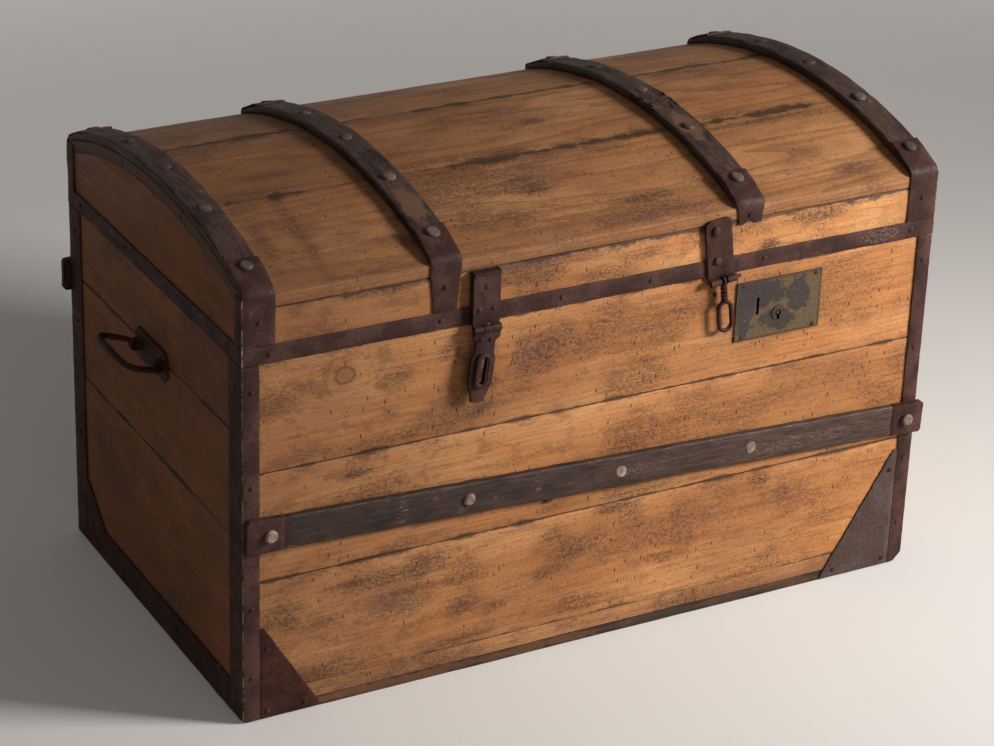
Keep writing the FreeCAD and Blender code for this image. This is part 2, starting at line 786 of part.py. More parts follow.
clamps = {
    "left_end": corner_clamp("clamp_front_left_end", -1, -1),
    "left": clamp("clamp_front_left", -1, dome_slat_middles["left"], long_foot),
    "right": clamp("clamp_front_right", -1, dome_slat_middles["right"], short_foot),
    "right_end": corner_clamp("clamp_front_right_end", -1, 1),
}
rear_clamps = {
    "left_end": corner_clamp("clamp_rear_left_end", 1, -1),
    "left": clamp("clamp_rear_left", 1, dome_slat_middles["left"], short_foot),
    "right": clamp("clamp_rear_right", 1, dome_slat_middles["right"], short_foot),
    "right_end": corner_clamp("clamp_rear_right_end", 1, 1),
}

# Big nails: a hammered, faceted head on a square shank, made once and copied
HEAD_SIDES = 6


def nail_form():
    """The nail along Z, its head seated on the XY plane."""
    seat = polygon(HEAD_SIDES, nail_head.number / 2, 0)
    crown = polygon(HEAD_SIDES, nail_flat.number / 2, nail_crown.number)
    width = nail_shank.number
    corner = Vector(-width / 2, -width / 2, -nail_length.number)
    shank = Part.makeBox(width, width, nail_length.number, corner)
    return skinned([seat, crown]).fuse(shank).removeSplitter()


nail = nail_form()


def nail_group(name, places):
    """Copies of the nail, each at its own place, and the holes they go in."""
    copies = []
    holes = []
    for place in places:
        copy = nail.copy()
        copy.Placement = place
        copies.append(copy)
        hole_side = nail_shank.number + nail_play.number * 2
        hole_depth = nail_length.number + nail_play.number
        hole = Part.makeBox(hole_side, hole_side, hole_depth + nail_crown.number,
                            Vector(-hole_side / 2, -hole_side / 2, -hole_depth))
        hole.Placement = place
        holes.append(hole)
    nails = keep(shape_piece(name + "_copies", Part.makeCompound(copies)), name)
    return nails, shape_piece(name + "_holes", Part.makeCompound(holes))


def dome_nail_place(x, across, seat):
    """A nail square to the dome, its head seated at the given radius."""
    angle = math.asin(across / seat)
    height = dome_centre.number + seat * math.cos(angle)
    return Placement(Vector(x, across, height), Rotation(Vector(1, 0, 0), -math.degrees(angle)))


dome_places = []
for middle in dome_slat_middles.values():
    for across in (-dome_nail_outer, -dome_nail_inner, as_size(0), dome_nail_inner, dome_nail_outer):
        on_clamp = abs(across.number) > half_depth.number - clamp_reach.number
        seat = dome_slat_top.number + (iron.number if on_clamp else 0)
        dome_places.append(dome_nail_place(middle.number, across.number, seat))
dome_nails, dome_holes = nail_group("dome_nails", dome_places)

# Nails along the slats, shared out from the left cap's nail to the right cap's
SLAT_NAIL_SHARES = (0, 0.29, 0.525, 0.735, 1)
slat_places = []
for face in SLAT_PLACES:
    first_nail = cap_length.number / 2 - SLAT_LEFT_REACH[face].number
    last_nail = slat_reach.number - cap_length.number / 2
    for share in SLAT_NAIL_SHARES:
        proud = slat_thickness.number
        if share in (0, 1):
            proud += iron.number + iron_fit.number
        seat = Vector(first_nail + (last_nail - first_nail) * share, -proud, 0)
        own = Placement(seat, Rotation(Vector(1, 0, 0), 90))
        slat_places.append(slat_placement(face).multiply(own))
slat_nails, slat_holes = nail_group("slat_nails", slat_places)

for face, item in slats.items():
    keep(cut(f"{face}_slat_nailed", item, slat_holes), f"{face}_slat")
keep(cut("slat_caps_nailed", group("slat_caps_group", caps), slat_holes), "slat_caps")
for side, item in front_irons.items():
    keep(cut(f"front_{side}_iron_nailed", item, slat_holes), f"front_{side}_corner_iron")
keep(cut("rear_irons_nailed", group("rear_irons", rear_irons), slat_holes), "rear_corner_irons")
for row in ("lower", "middle"):
    keep(cut(f"front_{row}_nailed", front_planks[row], slat_holes), f"front_plank_{row}")
keep(cut("back_planks_nailed", group("back_planks_group", back_planks), slat_holes), "back_planks")
for row, item in dome_planks.items():
    keep(cut(f"dome_{row}_nailed", item, dome_holes), f"dome_plank_{row}")
for place, item in dome_slats.items():
    keep(cut(f"slat_{place}_nailed", item, dome_holes), f"dome_slat_{place}")
for place, item in clamps.items():
    keep(cut(f"clamp_{place}_nailed", item, dome_holes), f"front_clamp_{place}")
rear_clamp_group = group("rear_clamps_group", list(rear_clamps.values()))
keep(cut("rear_clamps_nailed", rear_clamp_group, dome_holes), "rear_clamps")

# Hinges: the pin runs behind the lid's band, level with the split
hinge_axis_y = half_depth + iron + knuckle_gap + hinge_knuckle
hinge_axis_z = base_height + lid_gap / 2
hinge_third = hinge_width / 3


def knuckle(name, x, radius, axis_y, axis_z):
    return rod(name, "x", (x[0], axis_y, axis_z), x[1] - x[0], radius)


def hinge_leaf_piece(name, middle, lid_side):
    """One leaf: the lid's has the middle knuckle, the case's the outer two."""
    left = middle - hinge_width / 2
    right = middle + hinge_width / 2
    inner = (left + hinge_third, right - hinge_third)
    if lid_side:
        back = half_depth + iron
        z = (hinge_axis_z + hinge_knuckle + knuckle_gap, hinge_axis_z + hinge_leaf_height)
        neck = (hinge_axis_z + knuckle_gap * 2, z[0] + hinge_leaf)
        spans = [(inner[0] + knuckle_gap, inner[1] - knuckle_gap)]
    else:
        back = half_depth
        z = (hinge_axis_z - hinge_leaf_height, hinge_axis_z - hinge_knuckle - knuckle_gap)
        neck = (z[1] - hinge_leaf, hinge_axis_z - knuckle_gap * 2)
        spans = [(left, inner[0]), (inner[1], right)]
    plate = board(name + "_plate", (left, right), (back, back + hinge_leaf), z)
    parts = [plate]
    for number, span in enumerate(spans):
        parts.append(knuckle(f"{name}_knuckle_{number}", span, hinge_knuckle, hinge_axis_y, hinge_axis_z))
        parts.append(board(f"{name}_neck_{number}", span, (back, hinge_axis_y), neck))
    bore = knuckle(name + "_bore", (left - iron, right + iron), hinge_pin + pin_play,
                   hinge_axis_y, hinge_axis_z)
    return cut(name + "_bored", fuse(name + "_fused", parts), bore)


base_leaves = []
lid_leaves = []
hinge_pins = []
for side, middle in (("left", -hinge_spread), ("right", hinge_spread)):
    base_leaves.append(hinge_leaf_piece(f"{side}_base_leaf", middle, False))
    lid_leaves.append(hinge_leaf_piece(f"{side}_lid_leaf", middle, True))
    span = (middle - hinge_width / 2 - iron, middle + hinge_width / 2 + iron)
    hinge_pins.append(knuckle(f"{side}_hinge_pin", span, hinge_pin, hinge_axis_y, hinge_axis_z))
keep(group("base_leaves_group", base_leaves), "hinge_base_leaves")
keep(group("lid_leaves_group", lid_leaves), "hinge_lid_leaves")
keep(group("hinge_pins_group", hinge_pins), "hinge_pins")

# Left hasp: a folded leaf on the lid and a slotted hasp that swings from it
hasp_left = -hasp_middle - hasp_width / 2
hasp_right = -hasp_middle + hasp_width / 2
hasp_third = hasp_width / 3
hasp_axis_y = front - hasp_stand - hasp_knuckle / 2
leaf_foot = pin_height + hasp_knuckle + knuckle_gap
leaf_face = front - hasp_stand

leaf_plate = board("leaf_plate", (hasp_left, hasp_right), (leaf_face, leaf_face + hasp_sheet),
                   (leaf_foot, hasp_top))
leaf_parts = [leaf_plate]
for number, start in enumerate((hasp_left, hasp_right - hasp_sheet)):
    flange_x = (start, start + hasp_sheet)
    leaf_parts.append(board(f"leaf_flange_{number}", flange_x, (leaf_face, front - iron),
                            (leaf_foot, hasp_top)))
    leaf_parts.append(board(f"leaf_foot_{number}", flange_x, (leaf_face, front),
                            (band_top + iron_fit, hasp_top)))
leaf_spans = ((hasp_left, hasp_left + hasp_third), (hasp_right - hasp_third, hasp_right))
for number, span in enumerate(leaf_spans):
    leaf_parts.append(knuckle(f"leaf_knuckle_{number}", span, hasp_knuckle, hasp_axis_y, pin_height))
    leaf_parts.append(board(f"leaf_neck_{number}", span, (leaf_face, leaf_face + hasp_sheet),
                            (pin_height, leaf_foot + hasp_sheet)))
hasp_bore_span = (hasp_left - iron, hasp_right + iron)
leaf_bore = knuckle("leaf_bore", hasp_bore_span, hasp_pin + pin_play, hasp_axis_y, pin_height)
keep(cut("leaf_bored", fuse("leaf_fused", leaf_parts), leaf_bore), "left_hasp_leaf")
hasp_pin_span = (hasp_left - iron / 2, hasp_right + iron / 2)
keep(knuckle("hasp_pin_rod", hasp_pin_span, hasp_pin, hasp_axis_y, pin_height), "left_hasp_pin")

hasp_body = new_body("hasp_plate_body")
hasp_back = -hasp_axis_y - hasp_plate / 2
shoulder = pin_height - hasp_knuckle - knuckle_gap
toe = pin_height - hasp_length
slot_middle = pin_height - hasp_slot_drop
belly_top = slot_middle + hasp_slot_length / 2
belly_foot = slot_middle - hasp_slot_length / 2
hasp_levels = [
    (hasp_width / 2, shoulder),
    (hasp_width / 2, shoulder - hasp_knuckle),
    (hasp_waist / 2, shoulder - hasp_knuckle * 2),
    (hasp_waist / 2, belly_top + hasp_collar),
    (hasp_belly / 2, belly_top),
    (hasp_belly / 2, belly_foot),
    (hasp_toe / 2, toe + hasp_collar),
    (hasp_toe / 2, toe),
]
hasp_corners = [(-hasp_middle - half, level) for half, level in hasp_levels]
hasp_corners += [(-hasp_middle + half, level) for half, level in reversed(hasp_levels)]
pad(hasp_body, "hasp_sheet_pad", "XZ_Plane", hasp_back, hasp_plate, hasp_corners)


def slot_corners(middle, half, top, foot, blunt):
    """A long slot with blunted corners."""
    return [
        (middle - half, foot + blunt),
        (middle - half, top - blunt),
        (middle - half + blunt, top),
        (middle + half - blunt, top),
        (middle + half, top - blunt),
        (middle + half, foot + blunt),
        (middle + half - blunt, foot),
        (middle - half + blunt, foot),
    ]


slot_half = hasp_slot_width / 2
collar_outline = slot_corners(-hasp_middle, slot_half + hasp_collar, belly_top + hasp_collar,
                              belly_foot - hasp_collar, slot_half)
pad(hasp_body, "hasp_collar_pad", "XZ_Plane", hasp_back + hasp_plate, hasp_collar_rise, collar_outline)
slot_outline = slot_corners(-hasp_middle, slot_half, belly_top, belly_foot, slot_half / 2)
hasp_front = hasp_back + hasp_plate + hasp_collar_rise
slot_depth = hasp_plate * 2 + hasp_collar_rise
pocket(hasp_body, "hasp_slot_pocket", "XZ_Plane", hasp_front, slot_depth, slot_outline)
hasp_knuckle_span = (hasp_left + hasp_third + knuckle_gap, hasp_right - hasp_third - knuckle_gap)
hasp_parts = [
    hasp_body,
    knuckle("hasp_knuckle_rod", hasp_knuckle_span, hasp_knuckle, hasp_axis_y, pin_height),
    board("hasp_neck", hasp_knuckle_span,
          (hasp_axis_y - hasp_plate / 2, hasp_axis_y + hasp_plate / 2),
          (shoulder - hasp_plate, pin_height)),
]
hasp_bore = knuckle("hasp_bore", hasp_bore_span, hasp_pin + pin_play, hasp_axis_y, pin_height)
keep(cut("hasp_bored", fuse("hasp_fused", hasp_parts), hasp_bore), "left_hasp")

# Right hasp: a leaning plate whose pin carries a twisted link
# Both are made upright about the pin's middle and then leaned together.
link_eye = hasp_pin + pin_play + link_eye_rod
link_axis_y = front - iron - knuckle_gap - link_eye - link_eye_rod
link_place = Placement(Vector(link_middle.number, link_axis_y.number, pin_height.number),
                       Rotation(Vector(0, 1, 0), -link_lean.number))
plate_half = link_plate_width / 2
plate_back = front - iron - link_axis_y
plate_foot = hasp_knuckle + knuckle_gap

link_plate_body = new_body("link_plate_body")
link_sheet = pad(link_plate_body, "link_sheet", "XZ_Plane", -plate_back, link_plate, [
    (-plate_half, plate_foot),
    (plate_half, plate_foot),
    (plate_half, link_plate_height),
    (-plate_half, link_plate_height),
])


def plate_top_corner(edge):
    return along_y(edge) and edge.CenterOfMass.z > link_plate_height.number - 0.01


round_edges(link_plate_body, link_sheet, "link_sheet_round", link_plate_round, plate_top_corner)
eye_room = link_rod * 1.5 + knuckle_gap
link_plate_parts = [link_plate_body]
for number, span in enumerate(((-plate_half, -eye_room), (eye_room, plate_half))):
    link_plate_parts.append(knuckle(f"plate_knuckle_{number}", span, hasp_knuckle, as_size(0), as_size(0)))
    link_plate_parts.append(board(f"plate_neck_{number}", span, (plate_back - link_plate, plate_back),
                                  (as_size(0), plate_foot + link_plate)))
plate_bore = knuckle("plate_bore", (-plate_half - iron, plate_half + iron), hasp_pin + pin_play,
                     as_size(0), as_size(0))
link_plate_cut = cut("link_plate_bored", fuse("link_plate_fused", link_plate_parts), plate_bore)
link_plate_cut.Placement = link_place
keep(link_plate_cut, "right_hasp_plate")
link_pin = group("link_pin", [knuckle("link_pin_rod", (-plate_half - iron / 2, plate_half + link_pin_tail),
                                      hasp_pin, as_size(0), as_size(0))])
link_pin.Placement = link_place
keep(link_pin, "right_hasp_pin")


LINK_SIDES = 6
BAIL_SIDES = 8
DEGREES_PER_FACET = 18


def bar_section(place, along, across, radius, sides):
    """The corners of a hammered, faceted bar's section, with a flat facing across."""
    along = Vector(along).normalize()
    third = along.cross(across)
    reach = radius / math.cos(math.pi / sides)
    return [place + across * flat.x + third * flat.y for flat in polygon(sides, reach, 0)]


def straight_run(start, end, across, radius, sides):
    """A straight run of bar."""
    section = bar_section(start, end - start, across, radius, sides)
    return skinned([section, [corner + end - start for corner in section]])


def bent_run(section, centre, axis, turn):
    """A run of bar bent about an axis, its faces folded flat every few degrees."""
    steps = math.ceil(turn / DEGREES_PER_FACET)
    rings = []
    for step in range(steps + 1):
        swing = Rotation(axis, turn * step / steps)
        rings.append([centre + swing.multVec(corner - centre) for corner in section])
    return skinned(rings, closed=turn == 360)


def oval_ring(half_width, half_height, middle_z, radius):
    """A long oval of bar in the XZ plane: two half circles and two straight sides."""
    shapes = []
    across = Vector(0, 1, 0)
    for side in (-1, 1):
        centre = Vector(0, 0, middle_z + (half_height - half_width) * side)
        start = centre + Vector(-half_width * side, 0, 0)
        end = centre + Vector(half_width * side, 0, 0)
        far = end - Vector(0, 0, (half_height - half_width) * 2 * side)
        section = bar_section(start, Vector(0, 0, side), across, radius, LINK_SIDES)
        shapes.append(bent_run(section, centre, across, 180))
        shapes.append(straight_run(end, far, across, radius, LINK_SIDES))
    return shapes


def twisted_bar(top, foot, half, turns, steps):
    """A square bar twisted about Z, its faces folded flat between the turned squares."""
    squares = []
    for step in range(steps + 1):
        share = step / steps
        level = top + (foot - top) * share
        angles = [math.radians(45 + 90 * quarter + 360 * turns * share) for quarter in range(4)]
        squares.append([Vector(half * math.cos(a), half * math.sin(a), level) for a in angles])
    loops = [squares[0], squares[-1]]
    for upper, lower in zip(squares, squares[1:]):
        for quarter in range(4):
            following = (quarter + 1) % 4
            loops.append([upper[quarter], upper[following], lower[quarter]])
            loops.append([upper[following], lower[following], lower[quarter]])
    return flat_solid(loops)


SHANK_TURNS = 1.25
SHANK_STEPS = 10
SHANK_FULLNESS = 1.2


def twisted_link():
    """The link: an eye on the pin, a twisted shank and an oval ring, forged as one."""
    rod_radius = link_rod.number
    outwards = Vector(0, 0, 1)
    eye_section = bar_section(outwards * link_eye.number, Vector(0, 1, 0), outwards,
                              link_eye_rod.number, LINK_SIDES)
    eye = bent_run(eye_section, Vector(), Vector(1, 0, 0), 360)
    shank_top = -link_eye.number
    shank_foot = shank_top - link_shank.number
    shank = twisted_bar(shank_top, shank_foot, rod_radius * SHANK_FULLNESS, SHANK_TURNS, SHANK_STEPS)
    half_height = link_ring_height.number / 2 - rod_radius
    half_width = link_ring_width.number / 2 - rod_radius
    ring = oval_ring(half_width, half_height, shank_foot - half_height, rod_radius)
    return eye.fuse([shank] + ring).removeSplitter()


keep(shape_piece("twisted_link", twisted_link(), link_place), "right_link")

# Lock: plate on the front, case in a mortise of the upper plank, bolt and spring inside
lock_half = lock_case_width / 2
lock_tall = lock_case_height / 2
mortise = board("lock_mortise",
                (lock_middle - lock_half - lock_fit, lock_middle + lock_half + lock_fit),
                (front - iron, front + lock_case_depth + lock_fit),
                (lock_height - lock_tall - lock_fit, lock_height + lock_tall + lock_fit))
keep(cut("front_upper_mortised", front_planks["upper"], mortise), "front_plank_upper")

lock_plate_body = new_body("lock_plate_body")
plate_x = (lock_middle - lock_plate_width / 2, lock_middle + lock_plate_width / 2)
plate_z = (lock_height - lock_plate_height / 2, lock_height + lock_plate_height / 2)
pad(lock_plate_body, "lock_sheet_pad", "XZ_Plane", half_depth, iron, [
    (plate_x[0], plate_z[0]), (plate_x[1], plate_z[0]), (plate_x[1], plate_z[1]), (plate_x[0], plate_z[1]),
])
slot_x = lock_middle - lock_slot_offset
slot_z = lock_height + lock_slot_rise
slot_wide = lock_slot_width / 2
slot_tall = lock_slot_length / 2
pocket(lock_plate_body, "lock_slot", "XZ_Plane", half_depth + iron, iron * 2, [
    (slot_x - slot_wide, slot_z - slot_tall), (slot_x + slot_wide, slot_z - slot_tall),
    (slot_x + slot_wide, slot_z + slot_tall), (slot_x - slot_wide, slot_z + slot_tall),
])
keyhole_z = lock_height - keyhole_drop
boss = rod("keyhole_boss_rod", "y", (lock_middle, front - iron - keyhole_boss_rise, keyhole_z),
           iron + keyhole_boss_rise, keyhole_boss)
keyhole_rod = rod("keyhole_rod", "y", (lock_middle, front - iron * 3, keyhole_z), iron * 4, keyhole_round)
slit = board("keyhole_slit", (lock_middle - keyhole_slit / 2, lock_middle + keyhole_slit / 2),
             (front - iron * 3, front + iron), (keyhole_z - keyhole_length, keyhole_z))
keep(cut("lock_plate_cut", fuse("lock_plate_boss", [lock_plate_body, boss]),
         fuse("keyhole", [keyhole_rod, slit])), "lock_plate")

case_x = (lock_middle - lock_half, lock_middle + lock_half)
case_y = (front, front + lock_case_depth)
case_z = (lock_height - lock_tall, lock_height + lock_tall)
case_box = board("case_box", case_x, case_y, case_z)
case_room = board("case_room", (case_x[0] + lock_sheet, case_x[1] - lock_sheet),
                  (front - iron, case_y[1] - lock_sheet), (case_z[0] + lock_sheet, case_z[1] - lock_sheet))
bolt_back = case_y[1] - lock_sheet - bolt_play
bolt_x = (slot_x + bolt_setback, slot_x + bolt_setback + bolt_length)
bolt_z = (slot_z - bolt_height / 2, slot_z + bolt_height / 2)
guide_y = (bolt_back - bolt_thickness, case_y[1])
guide_low = board("guide_low", bolt_x, guide_y, (bolt_z[0] - bolt_play - bolt_guide, bolt_z[0] - bolt_play))
guide_high = board("guide_high", (bolt_x[1] - bolt_height, bolt_x[1]), guide_y,
                   (bolt_z[1] + bolt_play, bolt_z[1] + bolt_play + bolt_guide))
keep(fuse("lock_case_fused", [cut("case_shell", case_box, case_room), guide_low, guide_high]), "lock_case")

bolt_bar = board("bolt_bar", bolt_x, (bolt_back - bolt_thickness, bolt_back), bolt_z)
talon = rod("bolt_talon", "y", ((bolt_x[0] + bolt_x[1]) / 2, bolt_back - bolt_thickness * 2,
                                bolt_z[0]), bolt_thickness * 3, bolt_height / 3)
keep(cut("bolt_cut", bolt_bar, talon), "lock_bolt")

spring_body = new_body("spring_body")
spring_foot = bolt_z[1] + bolt_play
spring_start = bolt_x[0] + bolt_setback
spring_end = case_x[1] - lock_sheet - bolt_play
spring_top = spring_foot + spring_rise
spring_near = bolt_thickness / 2 - spring_width / 2 - bolt_back
pad(spring_body, "spring_leaf", "XZ_Plane", spring_near, spring_width, [
    (spring_start - bolt_setback / 2, spring_foot + spring_sheet),
    (spring_start, spring_foot),
    (spring_end, spring_top),
    (spring_end, spring_top + spring_sheet),
    (spring_start, spring_foot + spring_sheet),
    (spring_start - bolt_setback / 2, spring_foot + spring_sheet * 2),
])
keep(spring_body, "lock_spring")
keep(rod("key_pin_rod", "y", (lock_middle, front - iron, keyhole_z),
         iron + lock_case_depth - lock_sheet, key_pin_radius), "key_pin")


# Handles: a plate with two ears, and a bail whose turned-in pins sit in the ears
def handle_plate_piece(name):
    """Plate and ears about the origin, facing -X, bored for the bail's pins."""
    body = new_body(name + "_body")
    half = handle_plate_length / 2
    tall = handle_plate_height / 2
    notch = handle_plate_height / 4
    corners = [
        (-half, -tall + notch), (-half + notch, -tall), (half - notch, -tall), (half, -tall + notch),
        (half, tall - notch), (half - notch, tall), (-half + notch, tall), (-half, tall - notch),
    ]
    pad(body, name + "_sheet", "YZ_Plane", -handle_plate, handle_plate, corners)
    parts = [body]
    for side in (-1, 1):
        near = ear_spread * side - ear_width / 2
        pivot_end = (-pivot_out, near, as_size(0))
        parts.append(rod(f"{name}_ear_{side + 1}", "y", pivot_end, ear_width, ear_radius))
        parts.append(board(f"{name}_root_{side + 1}", (-pivot_out, -handle_plate), (near, near + ear_width),
                           (-ear_radius, ear_radius)))
    bore = rod(name + "_bore", "y", (-pivot_out, -half, as_size(0)), half * 2, bail_pin + pin_play)
    return cut(name + "_bored", fuse(name + "_fused", parts), bore)


def bent_bar(points, bends, radius):
    """Bar in level straight runs through the points, with a tangent bend at each inner one."""
    shapes = []
    upwards = Vector(0, 0, 1)
    start = points[0]
    for before, corner, after, bend in zip(points, points[1:], points[2:], bends):
        back = (before - corner).normalize()
        ahead = (after - corner).normalize()
        half_angle = back.getAngle(ahead) / 2
        reach = bend / math.tan(half_angle)
        centre = corner + (back + ahead).normalize() * (bend / math.sin(half_angle))
        first = corner + back * reach
        shapes.append(straight_run(start, first, upwards, radius, BAIL_SIDES))
        section = bar_section(first, -back, upwards, radius, BAIL_SIDES)
        turn = 180 - math.degrees(half_angle) * 2
        shapes.append(bent_run(section, centre, ahead.cross(back), turn))
        start = corner + ahead * reach
    shapes.append(straight_run(start, points[-1], upwards, radius, BAIL_SIDES))
    return shapes


GRIP_SLACK = 4


def bail():
    """The bail, level, about its pivot line, with the grip bowed out along -X."""
    leg = bail_leg.number
    corner = bail_corner.number
    reach = bail_reach.number
    bow = reach + bail_bow.number
    bend = bail_bend.number
    inner_pin = ear_spread.number - ear_width.number / 2 - bail_pin.number / 2
    half = [Vector(0, -leg, 0), Vector(-reach, -corner, 0), Vector(-bow, -corner / 3, 0)]
    other = [Vector(point.x, -point.y, 0) for point in reversed(half)]
    slack = bend * GRIP_SLACK
    shapes = bent_bar(half + other, [bend, slack, slack, bend], bail_rod.number)
    for side in (-1, 1):
        inwards = Vector(0, -side, 0)
        shoulder_start = Vector(0, (leg + bail_rod.number) * side, 0)
        shoulder_end = shoulder_start + inwards * (bail_rod.number * 2)
        shapes.append(straight_run(shoulder_start, shoulder_end, Vector(0, 0, 1), bail_rod.number,
                                   BAIL_SIDES))
        pin_start = Vector(0, leg * side, 0)
        shapes.append(Part.makeCylinder(bail_pin.number, leg - inner_pin, pin_start, inwards))
    return shapes[0].fuse(shapes[1:]).removeSplitter()


for name, side, turn in (("left", -1, 0), ("right", 1, 180)):
    facing = Rotation(Vector(0, 0, 1), turn)
    wall_place = Placement(Vector(half_length.number * side, 0, handle_height.number), facing)
    plate_item = handle_plate_piece(f"{name}_handle")
    plate_item.Placement = wall_place
    keep(plate_item, f"{name}_handle_plate")
    pivot = Placement(Vector(-pivot_out.number, 0, 0), Rotation(Vector(0, 1, 0), bail_lift.number))
    keep(shape_piece(f"{name}_bail_form", bail(), wall_place.multiply(pivot)), f"{name}_bail")

# Small nails: low faceted heads on the irons, plates and hinges
FACING = {
    "front": Rotation(Vector(1, 0, 0), 90),
    "rear": Rotation(Vector(1, 0, 0), -90),
    "left": Rotation(Vector(0, 1, 0), -90),
    "right": Rotation(Vector(0, 1, 0), 90),
}


def tack_form():
    """A six-sided head that comes to a point."""
    seat = polygon(HEAD_SIDES, tack_head.number / 2, 0)
    point = Vector(0, 0, tack_crown.number)
    sides = [[seat[side], seat[(side + 1) % HEAD_SIDES], point] for side in range(HEAD_SIDES)]
    return flat_solid([seat] + sides)


def on_face(face, across, height, proud):
    """Where a small nail sits on a face of the trunk, on iron that stands proud of the wood."""
    across = as_size(across).number
    depth = half_depth.number + as_size(proud).number
    reach = half_length.number + as_size(proud).number
    spots = {
        "front": (across, -depth),
        "rear": (across, depth),
        "left": (-reach, across),
        "right": (reach, across),
    }
    return Placement(Vector(*spots[face], as_size(height).number), FACING[face])


def tack_group(name, places):
    heads = []
    for place in places:
        head = tack.copy()
        head.Placement = place
        heads.append(head)
    return keep(shape_piece(name + "_heads", Part.makeCompound(heads)), name)


tack = tack_form()
IRON_TACK_SHARES = (0.13, 0.33, 0.67, 0.93)
FOOT_TACK_SHARES = (-0.85, -0.28, 0.28, 0.85)
BAND_TACK_SHARES = (-0.93, -0.47, -0.13, 0.13, 0.47, 0.93)
BAND_END_SHARES = (-0.85, -0.3, 0.3, 0.85)
base_places = []
for side in (-1, 1):
    leg_x = (half_length - angle_front_leg / 2) * side
    leg_y = (half_depth - angle_end_leg / 2) * side
    for share in IRON_TACK_SHARES:
        base_places += [on_face(face, leg_x, base_height * share, iron) for face in ("front", "rear")]
        base_places += [on_face(face, leg_y, base_height * share, iron) for face in ("left", "right")]
    for high in (-1, 1):
        corner_x = lock_middle + (lock_plate_width / 2 - tack_margin) * side
        corner_z = lock_height + (lock_plate_height / 2 - tack_margin / 2) * high
        base_places.append(on_face("front", corner_x, corner_z, iron))
for face in ("left", "right"):
    foot_middle = angle_foot + end_iron_height / 2
    base_places += [on_face(face, end_iron_edge * share, foot_middle, iron) for share in FOOT_TACK_SHARES]
gusset_sizes = ((-1, left_gusset_width, left_gusset_height), (1, right_gusset_width, right_gusset_height))
for side, width, height in gusset_sizes:
    low = angle_foot + tack_margin
    upper = angle_foot + height - tack_margin * 3
    base_places.append(on_face("front", (gusset_edge - tack_margin) * side, low, iron))
    base_places.append(on_face("front", (gusset_edge - width + tack_margin * 2) * side, low, iron))
    base_places.append(on_face("front", (gusset_edge - tack_margin) * side, upper, iron))

band_middle = lid_foot + lid_band_height / 2
long_leg_middle = (long_foot + dome_spring) / 2
short_leg_middle = (short_foot + dome_spring) / 2
lid_places = []
for face in ("front", "rear"):
    lid_places += [on_face(face, half_length * share, band_middle, iron) for share in BAND_TACK_SHARES]
for face in ("left", "right"):
    lid_places += [on_face(face, half_depth * share, band_middle, iron) for share in BAND_END_SHARES]
short_clamps = {"front": ("right",), "rear": ("left", "right")}
for face, short in short_clamps.items():
    for place, middle in dome_slat_middles.items():
        leg_middle = short_leg_middle if place in short else long_leg_middle
        lid_places.append(on_face(face, middle, leg_middle, iron))
for middle in (-hinge_spread, hinge_spread):
    for step in (-hinge_third, hinge_third):
        low = hinge_axis_z - hinge_leaf_height + tack_margin
        upper = hinge_axis_z + hinge_leaf_height - tack_margin
        base_places.append(on_face("rear", middle + step, low, hinge_leaf))
        lid_places.append(on_face("rear", middle + step, upper, iron + hinge_leaf))
for step in (-tack_margin, tack_margin):
    lid_places.append(on_face("front", -hasp_middle + step, leaf_foot + tack_margin * 2, hasp_stand))
lid_places.append(on_face("front", -hasp_middle, hasp_top - tack_margin * 2, hasp_stand))
plate_face = (plate_back - link_plate).number
for level in (link_plate_height - tack_margin * 1.5, link_plate_height / 3):
    own = Placement(Vector(-tack_margin.number / 2, plate_face, level.number), FACING["front"])
    lid_places.append(link_place.multiply(own))
tack_group("base_tacks", base_places)
tack_group("lid_tacks", lid_places)

# Every object has to be sound before anything is written
doc.recompute()
for item in doc.Objects:
    if "Invalid" in item.State or "Error" in item.State:
        raise RuntimeError(f"{item.Label} failed: {item.State}")
for piece in pieces:
    if piece.Shape.isNull() or not piece.Shape.isValid():
        raise RuntimeError(f"{piece.Label} has no valid shape")

for piece in pieces:
    piece.Shape.exportStep(f"parts/{piece.Label}.step")
print(f"{len(pieces)} pieces written")
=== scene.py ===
"""Looks of a dome top trunk: worn pine boards, painted slats, pitted iron fittings and a box lock."""
import json
import math
import random
from functools import cache

import bmesh
import bpy
from bpy.props import FloatProperty, FloatVectorProperty, PointerProperty
from mathutils import Matrix, Vector


